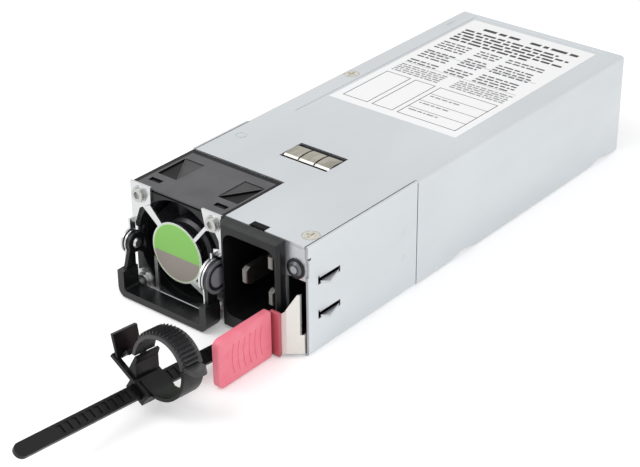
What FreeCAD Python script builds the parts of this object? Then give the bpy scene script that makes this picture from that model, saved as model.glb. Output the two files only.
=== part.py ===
import FreeCAD, Part
import math
import os
import Sketcher

# Hot swap server power supply, 73.5 x 39 x 185 mm, modelled in millimetres.
# Origin: bottom front centre of the housing. +X is right seen from the front, +Y runs rearwards, +Z is up.
# The cord strap and its clamp are drawn in the strap's own frame and placed together by strap_frame().

SIZES = (
    # housing sheet metal
    ("body_width", 73.5, "outside width of the housing"),
    ("body_depth", 185.0, "front face to rear face"),
    ("body_height", 39.0, "outside height of the housing"),
    ("gauge", 0.8, "thickness of the housing sheet"),
    ("lap_gap", 0.1, "gap between lapped sheets"),
    ("bend_radius", 1.2, "outside radius of the sheet bends"),
    ("seam_depth", 55.6, "front face to the seam where the cover's side flanges start"),
    ("seam_slit", 0.4, "width of the open seam"),
    ("flange_lift", 0.4, "lower edge of the cover's flanges above the base"),
    ("notch_height", 1.3, "shallow notches in the lower edges of the cover's flanges"),
    ("recess_margin", 17.5, "label recess in front of the label"),
    ("recess_depth", 0.15, "depth of the label recess"),
    ("label_width", 55.0, "rating label, across"),
    ("label_length", 90.5, "rating label, along"),
    ("label_rear", 5.0, "rating label to the rear face"),
    ("label_thickness", 0.1, "thickness of the labels"),
    ("vent_margin", 4.15, "middle of the outer rear vents to the rear panel's edges"),
    ("vent_share", 0.393, "corner radius of the vents' hexagons, as a share of their pitch"),
    ("screw_radius", 1.5, "neck of the cover screws' heads"),
    ("screw_thread", 1.25, "shank of the cover screws"),
    ("screw_head", 2.8, "head of the cover screws"),
    ("countersink", 0.75, "depth of the cover screws' heads"),
    ("screw_reach", 4.0, "cover screws below their heads"),
    ("screw_inset", 4.25, "front cover screw to the right side"),
    ("screw_setback", 6.7, "front cover screw behind the front face"),
    ("tab_inset", 3.75, "side cover screw to the left side"),
    ("tab_setback", 109.3, "side cover screw behind the front face"),
    ("finger_front", 42.4, "front of the grounding strip's opening"),
    ("finger_length", 11.6, "grounding strip's opening, along"),
    ("finger_width", 20.1, "grounding strip's opening, across"),
    ("finger_rise", 0.3, "crown of the grounding strip above the cover"),
    # fan
    ("fan_gap", 0.15, "fan frame to the left wall"),
    ("fan_depth", 28.0, "fan frame, front to back"),
    ("fan_proud", 1.1, "fan frame in front of the housing's front face"),
    ("bore_rim", 0.8, "thinnest wall over the fan's air bore"),
    ("bore_side", 2.1, "thinnest wall beside the fan's air bore"),
    ("tip_gap", 0.5, "blade tip to bore"),
    ("hub_radius", 10.2, "outside radius of the rotor cup"),
    ("cup_wall", 1.2, "wall of the rotor cup"),
    ("cup_length", 18.0, "length of the rotor cup"),
    ("blade_count", 7, "blades on the rotor"),
    ("blade_length", 13.5, "blades, front to back"),
    ("shaft_radius", 1.5, "fan shaft"),
    ("tube_wall", 1.6, "wall of the bearing tube"),
    ("running_gap", 0.05, "radial clearance of running fits"),
    ("spoke_depth", 2.5, "spokes behind the rotor, front to back"),
    ("corner_side", 3.6, "fan screws to the sides of the frame"),
    ("corner_low", 2.6, "lower fan screws above the frame's underside"),
    ("corner_high", 2.0, "upper fan screws below the frame's top"),
    ("fan_screw_shank", 1.45, "radius of the fan screws' shanks"),
    ("fan_screw_head", 2.3, "radius of the fan screws' heads"),
    ("fan_screw_length", 26.0, "length of the fan screws"),
    ("guard_gauge", 0.8, "thickness of the fan guard"),
    ("guard_share", 0.57, "guard's centre disc, as a share of the fan frame's size"),
    ("cover_drop", 0.6, "plastic fan cover below the steel"),
    ("cover_lap", 1.4, "plastic fan cover behind the fan"),
    # mains inlet
    ("inlet_width", 24.3, "bezel of the inlet, across"),
    ("inlet_gap", 0.2, "bezel to the fan frame"),
    ("inlet_low", 0.5, "underside of the bezel"),
    ("inlet_drop", 0.4, "top of the bezel below the housing's top"),
    ("bezel_depth", 3.5, "bezel in front of the housing's front face"),
    ("bezel_bevel", 0.9, "bevel round the bezel's front"),
    ("rim_side", 1.55, "bezel beside the well"),
    ("rim_low", 5.05, "bezel below the well"),
    ("rim_high", 3.55, "bezel above the well"),
    ("well_rounding", 3.4, "corners of the well"),
    ("well_depth", 20.0, "depth of the inlet well behind the front face"),
    ("well_wall", 1.2, "wall round the well"),
    ("blade_width", 6.2, "inlet blades, up"),
    ("blade_thickness", 2.0, "inlet blades, across"),
    ("blade_pitch", 13.0, "line blade to neutral blade"),
    ("blade_bevel", 1.0, "bevel of the blades' tips"),
    ("earth_offset", 4.1, "earth blade left of the well's middle, live blades right of it"),
    ("clip_depth", 3.0, "notch in the cover for the inlet's snap tab"),
    ("lamp_drop", 8.7, "lamp below the housing's top"),
    ("lamp_inset", 4.65, "lamp to the right side"),
    ("lamp_collar", 3.1, "radius of the lamp's collar"),
    ("lamp_lens", 2.5, "radius of the lamp's lens"),
    # latch
    ("latch_room", 8.85, "bezel to the housing's right side"),
    ("leaf_gauge", 0.6, "thickness of the latch spring"),
    ("leaf_gap", 0.3, "latch spring to the side wall"),
    ("leaf_low", 1.2, "underside of the latch spring"),
    ("leaf_drop", 14.0, "top of the latch spring below the housing's top"),
    ("latch_setback", 11.9, "line where the latch spring bends, in front of the seam"),
    ("rivet_set", 3.9, "latch rivets behind the bend"),
    ("rivet_shank", 1.2, "radius of the latch rivets"),
    ("barb_reach", 2.4, "barbs beyond the side wall"),
    ("barb_low", 12.3, "lower barb above the base"),
    ("barb_gauge", 0.8, "thickness of the barbs"),
    ("barb_front", 5.9, "front root of the barbs"),
    ("barb_length", 9.0, "barbs, front to back"),
    ("slit_height", 2.2, "slits that the barbs pass through"),
    ("plate_reach", 5.65, "latch's front plate in front of the housing"),
    ("paddle_thickness", 2.8, "thickness of the paddle"),
    ("paddle_front", 31.6, "front end of the paddle before the housing's face"),
    ("paddle_length", 24.4, "paddle, front to back"),
    ("paddle_height", 17.0, "height of the paddle"),
    ("paddle_low", 0.2, "underside of the paddle"),
    # handle
    ("pivot_reach", 3.3, "handle pivots in front of the housing's face"),
    ("pivot_drop", 1.4, "handle pivots below the fan's axis"),
    ("pivot_gap", 0.3, "ears to the handle's arms"),
    ("arm_gauge", 0.6, "thickness of the handle's steel arms"),
    ("hub_left", 3.9, "radius of the left arm's disc"),
    ("hub_right", 6.0, "radius of the right arm's disc"),
    ("hub_thickness", 1.4, "plastic covers on the arms"),
    ("grip_front", 10.8, "front of the handle grip before the housing's face"),
    ("grip_depth", 6.8, "handle grip, front to back"),
    ("grip_low", 0.2, "underside of the handle grip"),
    ("grip_height", 9.8, "height of the grip's legs"),
    ("grip_wall", 2.8, "wall of the grip"),
    ("handle_rivet", 1.1, "radius of the handle rivets"),
    # cord strap and clamp, in the strap's own frame
    ("strap_inset", 13.1, "root of the strap to the bezel's left side"),
    ("strap_lift", 2.3, "root of the strap above the bezel's underside"),
    ("strap_rise", 5.6, "strap above the horizontal, degrees"),
    ("strap_roll", 30.0, "strap turned about its length, degrees"),
    ("strap_length", 99.0, "bezel to the strap's tip"),
    ("strap_width", 4.8, "width of the strap"),
    ("strap_thickness", 1.4, "thickness of the strap"),
    ("rung_pitch", 2.9, "rungs of the strap"),
    ("rung_width", 1.1, "width of a rung"),
    ("strap_rail", 0.9, "side rails of the strap"),
    ("strap_rivet", 1.2, "radius of the strap's rivet"),
    ("clamp_front", 51.8, "front edge of the clamp's base, from the strap's root"),
    ("clamp_depth", 11.2, "clamp's base, along the strap"),
    ("clamp_wall", 1.2, "wall of the clamp"),
    ("clamp_left", 13.4, "clamp's base left of the strap's middle"),
    ("clamp_right", 4.2, "clamp's base right of the strap's middle"),
    ("slide_gap", 0.3, "clearance of the clamp on the strap"),
    ("ring_side", 1.0, "middle of the ring right of the strap's middle"),
    ("ring_lift", 11.8, "middle of the ring above the strap"),
    ("ring_radius", 9.3, "inside radius of the ring"),
    ("ring_wall", 1.1, "thickness of the ring"),
    ("ring_depth", 8.4, "depth of the ring, along the strap"),
    ("ring_inset", 1.6, "front rim of the ring behind the base's front edge"),
    ("tooth_height", 1.1, "teeth on the ring's arm"),
    # inside
    ("board_low", 3.0, "underside of the main board"),
    ("board_gauge", 1.6, "thickness of the boards"),
    ("board_setback", 3.1, "main board behind the fan"),
    ("board_inset", 2.05, "main board to the side walls"),
    ("tongue_width", 49.0, "width of the card edge"),
    ("tongue_reach", 8.0, "card edge beyond the rear face"),
    ("sheet_gauge", 0.4, "thickness of the insulating sheet"),
    ("board_screw", 1.3, "radius of the board screws"),
    ("spacer_radius", 2.6, "corner radius of the hexagonal spacers"),
    ("can_share", 0.379, "radius of the bulk capacitors, as a share of half the board"),
    ("sink_plate", 2.0, "back plate of the heat sinks"),
    ("sink_fins", 4.0, "fins of the heat sinks"),
    ("sink_gap", 1.0, "heat sinks to the wound parts beside them"),
)

Vector = FreeCAD.Vector
AXES = {"x": Vector(1, 0, 0), "y": Vector(0, 1, 0), "z": Vector(0, 0, 1)}
ORIGIN_PLANES = {"XY": "XY_Plane", "XZ": "XZ_Plane", "YZ": "YZ_Plane"}


doc = FreeCAD.newDocument("server_power_supply")
sheet = doc.addObject("Spreadsheet::Sheet", "Sizes")
subparts = []


class Size:
    """A length made of the sheet's cells: its value now, and the expression that keeps it tied to them."""

    def __init__(self, value, text):
        self.value = float(value)
        self.text = text

    def __add__(self, other):
        return Size(self.value + number(other), "({} + {})".format(self.text, formula(other)))

    def __sub__(self, other):
        return Size(self.value - number(other), "({} - {})".format(self.text, formula(other)))

    def __mul__(self, other):
        return Size(self.value * number(other), "({} * {})".format(self.text, formula(other)))

    def __truediv__(self, other):
        return Size(self.value / number(other), "({} / {})".format(self.text, formula(other)))

    def __neg__(self):
        return Size(-self.value, "(0 - {})".format(self.text))

    def __radd__(self, other):
        return Size(other, formula(other)) + self

    def __rsub__(self, other):
        return Size(other, formula(other)) - self

    def __rmul__(self, other):
        return Size(other, formula(other)) * self


def number(value):
    return value.value if isinstance(value, Size) else float(value)


def formula(value):
    return value.text if isinstance(value, Size) else repr(float(value))


class Table:
    """The sheet's cells by name."""

    def __init__(self, rows):
        for row, (name, value, note) in enumerate(rows, start=1):
            sheet.set("A%d" % row, name)
            sheet.set("B%d" % row, str(value))
            sheet.set("C%d" % row, note)
            sheet.setAlias("B%d" % row, name)
            setattr(self, name, Size(value, "Sizes." + name))


mm = Table(SIZES)
doc.recompute()


# ---- helpers -------------------------------------------------------------------------------------------

def bind(item, path, value):
    """Ties a property to the sheet, or gives it a plain number."""
    item.setExpression(path, formula(value))


def place(item, x=0.0, y=0.0, z=0.0):
    for axis, value in (("x", x), ("y", y), ("z", z)):
        bind(item, "Placement.Base." + axis, value)
    return item


def box(name, low, high):
    """A block between two corners."""
    item = doc.addObject("Part::Box", name)
    for path, start, end in zip(("Length", "Width", "Height"), low, high):
        bind(item, path, end - start)
    return place(item, *low)


def turn_to(item, axis):
    """Lays a solid that was made along Z along the named axis."""
    item.Placement.Rotation = FreeCAD.Rotation(AXES["z"], AXES[axis])


def rod(name, axis, start, radius, length):
    """A cylinder that starts at a point and runs along an axis."""
    item = doc.addObject("Part::Cylinder", name)
    bind(item, "Radius", radius)
    bind(item, "Height", length)
    turn_to(item, axis)
    return place(item, *start)


def prism(name, axis, start, radius, length):
    """A hexagonal bar that starts at a point and runs along an axis."""
    item = doc.addObject("Part::Prism", name)
    item.Polygon = 6
    bind(item, "Circumradius", radius)
    bind(item, "Height", length)
    turn_to(item, axis)
    return place(item, *start)


def cone(name, axis, start, first, last, length):
    """A cone from its first radius to its last along an axis."""
    item = doc.addObject("Part::Cone", name)
    bind(item, "Radius1", first)
    bind(item, "Radius2", last)
    bind(item, "Height", length)
    turn_to(item, axis)
    return place(item, *start)


def join(name, *items):
    item = doc.addObject("Part::MultiFuse", name)
    item.Shapes = list(items)
    return item


def group(name, *items):
    """Separate solids kept as one node."""
    item = doc.addObject("Part::Compound", name)
    item.Links = list(items)
    return item


def cut(name, base, *tools):
    item = doc.addObject("Part::Cut", name)
    item.Base = base
    item.Tool = tools[0] if len(tools) == 1 else join(name + "_tools", *tools)
    return item


def keep(node, item):
    """Makes an object one of the sub-parts, under the node's name."""
    item.Label = node
    subparts.append(item)
    return item


def new_body(name):
    return doc.addObject("PartDesign::Body", name)


def pin_point(sketch, geometry, point, x, y):
    """Fixes a point of a sketch by its distances from the sketch's origin."""
    for kind, value in (("DistanceX", x), ("DistanceY", y)):
        row = sketch.addConstraint(Sketcher.Constraint(kind, -1, 1, geometry, point, number(value)))
        sketch.setExpression("Constraints[%d]" % row, formula(value))


def draw_circle(sketch, x, y, radius):
    curve = Part.Circle(Vector(number(x), number(y), 0), AXES["z"], number(radius))
    geometry = sketch.addGeometry(curve, False)
    pin_point(sketch, geometry, 3, x, y)
    row = sketch.addConstraint(Sketcher.Constraint("Radius", geometry, number(radius)))
    sketch.setExpression("Constraints[%d]" % row, formula(radius))


def draw_outline(sketch, points):
    first = sketch.GeometryCount
    corners = [Vector(number(x), number(y), 0) for x, y in points]
    count = len(corners)
    for index in range(count):
        sketch.addGeometry(Part.LineSegment(corners[index], corners[(index + 1) % count]), False)
    for index in range(count):
        after = first + (index + 1) % count
        sketch.addConstraint(Sketcher.Constraint("Coincident", first + index, 2, after, 1))
    for index, (x, y) in enumerate(points):
        pin_point(sketch, first + index, 1, x, y)


def circle(x, y, radius):
    return ("circle", x, y, radius)


def rectangle(left, low, right, high):
    return ((left, low), (right, low), (right, high), (left, high))


def new_sketch(body, plane, offset, shapes):
    """A sketch on one of the body's own origin planes, moved along its normal."""
    sketch = body.newObject("Sketcher::SketchObject", body.Name + "_sketch")
    role = ORIGIN_PLANES[plane]
    support = [item for item in body.Origin.OriginFeatures if item.Role == role][0]
    sketch.AttachmentSupport = [(support, "")]
    sketch.MapMode = "FlatFace"
    bind(sketch, "AttachmentOffset.Base.z", offset)
    for shape in shapes:
        if shape[0] == "circle":
            draw_circle(sketch, *shape[1:])
        else:
            draw_outline(sketch, shape)
    return sketch


def pad(body, plane, start, end, *shapes):
    """Adds material between two places along the plane's axis. An XZ sketch faces -Y."""
    offset = -end if plane == "XZ" else start
    feature = body.newObject("PartDesign::Pad", body.Name + "_pad")
    feature.Profile = new_sketch(body, plane, offset, shapes)
    bind(feature, "Length", end - start)
    return feature


def pocket(body, plane, start, end, *shapes):
    """Removes material between two places along the plane's axis."""
    doc.recompute()
    before = body.Shape.Volume
    offset = -start if plane == "XZ" else end
    feature = body.newObject("PartDesign::Pocket", body.Name + "_pocket")
    feature.Profile = new_sketch(body, plane, offset, shapes)
    bind(feature, "Length", end - start)
    doc.recompute()
    if not body.Shape.Volume < before:
        raise RuntimeError(body.Label + ": a pocket removed nothing")
    return feature


def pick_edges(shape, wanted):
    return ["Edge%d" % (index + 1) for index, edge in enumerate(shape.Edges) if wanted(edge)]


def round_edges(body, radius, wanted, kind="PartDesign::Fillet"):
    """Rounds or bevels the body's edges that the test wants."""
    doc.recompute()
    base = body.Tip
    names = pick_edges(base.Shape, wanted)
    if not names:
        raise RuntimeError(body.Label + ": no edge to round")
    feature = body.newObject(kind, body.Name + "_round")
    feature.Base = (base, names)
    bind(feature, "Radius" if kind == "PartDesign::Fillet" else "Size", radius)
    return feature


def runs_along(edge, axis):
    """True for a straight edge along the axis."""
    if edge.Curve.TypeId != "Part::GeomLine":
        return False
    return abs(abs(edge.Curve.Direction.dot(AXES[axis])) - 1) < 1e-6


def near(value, wanted):
    return abs(value - number(wanted)) < 0.01


def middle(edge):
    return edge.valueAt((edge.FirstParameter + edge.LastParameter) / 2)


def polar_points(x, z, radius, degrees):
    """A point on a circle, as lengths tied to the sheet."""
    angle = math.radians(degrees)
    return (x + radius * math.cos(angle), z + radius * math.sin(angle))


def least(first, second):
    """The smaller of two lengths."""
    return Size(min(first.value, second.value), "min({}; {})".format(first.text, second.text))


half = mm.body_width / 2
inner_half = half - mm.gauge - mm.lap_gap
roof = mm.body_height - mm.gauge
under_roof = roof - mm.lap_gap

# screws and openings of the cover
front_screw_x = half - mm.screw_inset
front_screw_y = mm.screw_setback
side_screw_x = mm.tab_inset - half
side_screw_y = mm.tab_setback
cover_screw_places = ((front_screw_x, front_screw_y), (side_screw_x, side_screw_y))
finger_rear = mm.finger_front + mm.finger_length
finger_left = -mm.finger_width / 2 - 0.65
finger_right = mm.finger_width / 2 - 0.65
label_front = mm.body_depth - mm.label_rear - mm.label_length

# the front, from right to left: latch, inlet, fan
inlet_right = half - mm.latch_room
inlet_left = inlet_right - mm.inlet_width
fan_right = inlet_left - mm.inlet_gap
fan_left = mm.gauge + mm.fan_gap - half
fan_width = fan_right - fan_left
fan_centre = (fan_left + fan_right) / 2

# fan and its guard
fan_cover_low = mm.body_height - mm.cover_drop - mm.gauge
fan_low = mm.gauge + mm.lap_gap
fan_high = fan_cover_low - mm.lap_gap
fan_height = (fan_low + fan_high) / 2
fan_front = -mm.fan_proud
fan_rear = fan_front + mm.fan_depth
fan_bore = least(fan_width / 2 - mm.bore_side, (fan_high - fan_low) / 2 - mm.bore_rim)
guard_front = fan_front - mm.guard_gauge
guard_disc = (fan_width + fan_high - fan_low) / 4 * mm.guard_share
disc_x = fan_centre - 0.5
disc_z = fan_height - 0.2
rotor_front = fan_front + 3.6
blade_front = rotor_front + 2.4
tube_radius = mm.shaft_radius + mm.tube_wall
ear_left = mm.gauge - half
ear_right = fan_right - 3.1
cover_right = fan_right + mm.lap_gap
cover_rear = fan_rear + mm.cover_lap

# handle
pivot_y = -mm.pivot_reach
pivot_z = fan_height - mm.pivot_drop
arm_left = ear_left + mm.pivot_gap + 0.05
arm_right = ear_right + mm.pivot_gap
face_left = arm_left + mm.arm_gauge + mm.hub_thickness
face_right = arm_right + mm.arm_gauge + mm.hub_thickness
grip_rear = mm.grip_depth - mm.grip_front
grip_top = mm.grip_low + mm.grip_height
slot_low = mm.grip_low + 3.4
neck_front = 2.6 - mm.grip_front
neck_rear = grip_rear - 1.0

# inlet and lamp
inlet_high = mm.body_height - mm.inlet_drop
well_left = inlet_left + mm.rim_side
well_right = inlet_right - mm.rim_side
well_low = mm.inlet_low + mm.rim_low
well_high = inlet_high - mm.rim_high
well_centre = (well_left + well_right) / 2
well_middle = (well_low + well_high) / 2
inlet_body_left = fan_right + 2 * mm.inlet_gap
inlet_body_right = well_right + mm.well_wall / 2
inlet_body_low = well_low - mm.well_wall
inlet_body_high = well_high + mm.well_wall
inlet_rear = mm.well_depth + mm.well_wall
live_x = well_centre + mm.earth_offset
blade_places = (
    (live_x, well_middle + mm.blade_pitch / 2, 1.8),
    (live_x, well_middle - mm.blade_pitch / 2, 1.8),
    (well_centre - mm.earth_offset, well_middle, -1.2),
)
clip_left = well_centre - 2.65
clip_right = well_centre + 3.85
lamp_x = half - mm.lamp_inset
lamp_z = mm.body_height - mm.lamp_drop

# latch
leaf_right = half - mm.gauge - mm.leaf_gap
leaf_left = leaf_right - mm.leaf_gauge
leaf_top = mm.body_height - mm.leaf_drop
latch_bend = mm.seam_depth - mm.latch_setback
latch_rivet_y = latch_bend + mm.rivet_set
latch_rivet_z = (leaf_top - 10.7, leaf_top - 1.0)
barb_places = (mm.barb_low, leaf_top - mm.barb_gauge / 2)
paddle_right = inlet_right + 0.1
plate_left = paddle_right + 0.5

# strap and clamp
strap_x = inlet_left + mm.strap_inset
strap_z = mm.inlet_low + mm.strap_lift
ring_front = mm.clamp_front - mm.ring_inset
ring_outer = mm.ring_radius + mm.ring_wall
clamp_top = mm.strap_thickness / 2 + mm.slide_gap + mm.clamp_wall

# inside
board_top = mm.board_low + mm.board_gauge
board_edge = inner_half - mm.gauge - mm.board_inset
board_front = fan_rear + mm.board_setback
can_radius = board_edge * mm.can_share
can_x = can_radius + 1.5 - board_edge
primary_sink = can_x + can_radius + 1.5
secondary_sink = can_x + 7.0
primary_front = board_front + 30.0
primary_rear = mm.body_depth - 65.0
board_screw_places = [(side * (board_edge - 3.0), y) for side in (-1, 1)
                      for y in (board_front + 14.0, mm.body_depth - 20.0)]


# ---- sheet metal ---------------------------------------------------------------------------------------

def bend(x, z, radius, first, last, steps=3):
    """Points round a bend."""
    return [polar_points(x, z, radius, first + (last - first) * step / steps) for step in range(steps + 1)]


def channel(wide, web, rim, up=1):
    """Section of a folded sheet: a web at one height and two walls that end at the rim."""
    outer = mm.bend_radius
    inner = mm.bend_radius - mm.gauge
    middle_z = web + up * outer
    right = wide - outer
    outline = [(wide, rim)]
    outline += bend(right, middle_z, outer, 0, -90 * up)
    outline += bend(-right, middle_z, outer, -90 * up, -180 * up)
    outline += [(-wide, rim), (mm.gauge - wide, rim)]
    outline += bend(-right, middle_z, inner, -180 * up, -90 * up)
    outline += bend(right, middle_z, inner, -90 * up, 0)
    outline += [(wide - mm.gauge, rim)]
    return outline


def hooked_slit(front, rear, low, high, hook):
    """A slit in a side wall whose front end turns up."""
    return ((front, low), (rear, low), (rear, high), (front + hook, high), (front + hook, high + hook),
            (front, high + hook))


def make_chassis():
    """Folded tray: full width in front of the seam, one sheet narrower behind it."""
    body = new_body("chassis")
    joggle = mm.seam_depth - mm.gauge
    step_low = 2 * mm.bend_radius
    step_in = inner_half - mm.gauge
    wall = half - mm.gauge
    pad(body, "XZ", 0.0, mm.seam_depth, channel(half, 0.0, mm.body_height))
    pad(body, "XZ", joggle, mm.seam_depth, rectangle(step_in, step_low, half, under_roof),
        rectangle(-half, step_low, -step_in, under_roof))
    pad(body, "XZ", joggle, mm.body_depth, channel(inner_half, 0.0, under_roof))
    pad(body, "XZ", side_screw_y - 5.0, side_screw_y + 5.0,
        rectangle(-inner_half, under_roof - mm.gauge, side_screw_x + 4.0, under_roof))
    pocket(body, "XY", under_roof - mm.gauge, under_roof, circle(side_screw_x, side_screw_y, mm.screw_thread))
    slits = [hooked_slit(mm.barb_front - 1.1, mm.barb_front + mm.barb_length + 0.7, z - mm.barb_gauge / 2 - 0.3,
                         z - mm.barb_gauge / 2 - 0.3 + mm.slit_height, 0.8) for z in barb_places]
    pocket(body, "YZ", wall, half, *slits)
    corner = ((-1.0, mm.body_height - 11.0), (0.7, mm.body_height - 11.0), (0.7, mm.body_height - 4.8),
              (1.6, mm.body_height - 4.8), (1.6, mm.body_height - 4.0), (-1.0, mm.body_height - 4.0))
    pocket(body, "YZ", wall, half, corner)
    pocket(body, "YZ", wall, half, *[circle(latch_rivet_y, z, mm.rivet_shank) for z in latch_rivet_z])
    pocket(body, "YZ", -half, -wall, rectangle(-1.0, fan_high, cover_rear, mm.body_height + 1.0))
    keep("chassis", body)


def make_top_cover():
    """Top sheet with side flanges behind the seam."""
    body = new_body("top_cover")
    top = mm.body_height
    sheet_half = half - mm.gauge - mm.seam_slit
    flange_front = mm.seam_depth + mm.seam_slit
    pad(body, "XZ", 0.0, flange_front + mm.bend_radius, rectangle(-sheet_half, roof, sheet_half, top))
    pad(body, "XZ", flange_front, mm.body_depth, channel(half, top, mm.flange_lift, up=-1))
    pocket(body, "XY", roof, top,
           rectangle(-half - 1.0, -1.0, cover_right + mm.lap_gap, cover_rear + mm.lap_gap),
           rectangle(finger_left, mm.finger_front, finger_right, finger_rear),
           rectangle(clip_left, -1.0, clip_right, mm.clip_depth))
    for x, y in cover_screw_places:
        pocket(body, "XY", roof, top, circle(x, y, mm.screw_radius + mm.lap_gap))
        pocket(body, "XY", top - mm.countersink, top, circle(x, y, mm.screw_head + mm.lap_gap))
    recess_side = mm.label_width / 2 + 1.5
    recess_front = label_front - mm.recess_margin
    stamp_x = 6.25 - half
    stamp_y = mm.finger_front + 3.4
    oval_x = 4.35 - half
    oval_y = mm.body_depth - 13.3
    pocket(body, "XY", top - mm.recess_depth, top,
           rectangle(-recess_side, recess_front, recess_side, mm.body_depth - 2.0))
    pocket(body, "XY", top - mm.recess_depth, top,
           circle(stamp_x, stamp_y, 2.0), circle(stamp_x, stamp_y, 1.6),
           bend(oval_x, oval_y + 2.2, 0.9, 0, 180) + bend(oval_x, oval_y - 2.2, 0.9, 180, 360))
    for front, rear in ((mm.seam_depth + 16.6, mm.seam_depth + 38.2), (mm.body_depth - 23.4, mm.body_depth - 0.6)):
        notch = ((front, -0.1), (rear, -0.1), ((front + rear) / 2, mm.flange_lift + mm.notch_height))
        pocket(body, "YZ", half - mm.gauge, half, notch)
        pocket(body, "YZ", -half, mm.gauge - half, notch)
    keep("top_cover", body)


def make_front_panel():
    """Front plate round the inlet, the lamp and the latch, with a flange under the cover."""
    body = new_body("front_panel")
    left = fan_right + 0.3
    right = half - mm.gauge - mm.lap_gap
    low = mm.gauge + mm.lap_gap
    around = mm.lap_gap
    pad(body, "XZ", 0.0, mm.gauge, rectangle(left, low, right, under_roof))
    pocket(body, "XZ", 0.0, mm.gauge, rectangle(left - 1.0, inlet_body_low - around, inlet_body_right + around,
                                                inlet_body_high + around))
    pocket(body, "XZ", 0.0, mm.gauge, rectangle(inlet_right + 0.5, low - 1.0, right + 1.0, leaf_top + 1.8),
           circle(lamp_x, lamp_z, mm.lamp_collar))
    pad(body, "XZ", 0.0, front_screw_y + 5.0,
        rectangle(front_screw_x - 4.0, under_roof - mm.gauge, right - mm.leaf_gap, under_roof))
    pocket(body, "XY", under_roof - mm.gauge, under_roof, circle(front_screw_x, front_screw_y, mm.screw_thread))
    keep("front_panel", body)


def hexagon(x, z, radius):
    return [polar_points(x, z, radius, 30 + 60 * corner) for corner in range(6)]


def make_rear_panel():
    """Rear plate with the hexagonal vents and the card-edge opening."""
    body = new_body("rear_panel")
    edge = inner_half - mm.gauge - mm.lap_gap
    front = mm.body_depth - mm.gauge
    rows = 5
    columns = 12
    slot_high = board_top + 3.0
    across = (2 * edge - 2 * mm.vent_margin) / (columns - 1)
    up = (under_roof - slot_high - 2 * mm.vent_margin) / (rows - 1)
    radius = least(across, up) * mm.vent_share
    pad(body, "XZ", front, mm.body_depth, rectangle(-edge, mm.gauge + mm.lap_gap, edge, under_roof))
    pocket(body, "XZ", front, mm.body_depth,
           rectangle(-mm.tongue_width / 2 - 1.0, mm.board_low - 1.4, mm.tongue_width / 2 + 1.0, slot_high))
    holes = [hexagon(mm.vent_margin - edge, slot_high + mm.vent_margin + row * up, radius) for row in range(rows)]
    feature = pocket(body, "XZ", front, mm.body_depth, *holes)
    repeat = body.newObject("PartDesign::LinearPattern", "vent_columns")
    repeat.Originals = [feature]
    repeat.Direction = (feature.Profile[0], ["H_Axis"])
    bind(repeat, "Length", across * (columns - 1))
    repeat.Occurrences = columns
    body.Tip = repeat
    keep("rear_panel", body)


def make_cover_screws():
    """Two countersunk screws: one in the front panel's flange, one in the tray's tab."""
    screws = []
    low = mm.body_height - mm.countersink
    arm = 1.6
    thin = 0.3
    for index, (x, y) in enumerate(cover_screw_places):
        head = cone("cover_screw_head_%d" % index, "z", (x, y, low), mm.screw_radius, mm.screw_head, mm.countersink)
        shank = rod("cover_screw_shank_%d" % index, "z", (x, y, low - mm.screw_reach), mm.screw_thread, mm.screw_reach)
        slot = box("cover_screw_slot_%d" % index, (x - arm, y - thin, mm.body_height - 0.3),
                   (x + arm, y + thin, mm.body_height + 0.1))
        cross = box("cover_screw_cross_%d" % index, (x - thin, y - arm, mm.body_height - 0.3),
                    (x + thin, y + arm, mm.body_height + 0.1))
        screws.append(cut("cover_screw_%d" % index, join("cover_screw_blank_%d" % index, head, shank), slot, cross))
    keep("cover_screws", group("cover_screws", *screws))


def make_ground_spring():
    """Bowed strip with three fingers under the opening in the cover."""
    body = new_body("ground_spring")
    top = under_roof
    thin = 0.3
    front = mm.finger_front + 0.9
    rear = finger_rear - 0.6
    crown = mm.body_height + mm.finger_rise
    arch = ((front - 2.0, top), (front, top), (front + 1.6, mm.body_height), (front + 3.8, crown),
            (rear - 3.8, crown), (rear - 1.6, mm.body_height), (rear, top), (rear + 2.0, top),
            (rear + 2.0, top - thin), (rear - 0.15, top - thin), (rear - 1.75, mm.body_height - thin),
            (rear - 3.85, crown - thin), (front + 3.85, crown - thin), (front + 1.75, mm.body_height - thin),
            (front + 0.15, top - thin), (front - 2.0, top - thin))
    pad(body, "YZ", finger_left + 0.4, finger_right - 0.4, arch)
    fingers = 3
    pitch = mm.finger_width / fingers
    slots = [rectangle(finger_left + pitch * index - 0.3, front + 0.8,
                       finger_left + pitch * index + 0.3, rear - 0.8) for index in range(1, fingers)]
    pocket(body, "XY", top - 1.0, crown + 0.5, *slots)
    keep("ground_spring", body)


def make_rating_label():
    """White label in the cover's recess."""
    low = mm.body_height - mm.recess_depth
    label = box("rating_label", (-mm.label_width / 2, label_front, low),
                (mm.label_width / 2, label_front + mm.label_length, low + mm.label_thickness))
    keep("rating_label", label)


# ---- fan -----------------------------------------------------------------------------------------------

def screw_places(outwards=0.0):
    """The four fan screws, or places nearer the frame's corners."""
    reach = fan_width / 2 - mm.corner_side + outwards
    low = fan_low + mm.corner_low - outwards
    high = fan_high - mm.corner_high + outwards
    return [(fan_centre + side * reach, z) for side in (-1, 1) for z in (low, high)]


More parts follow.
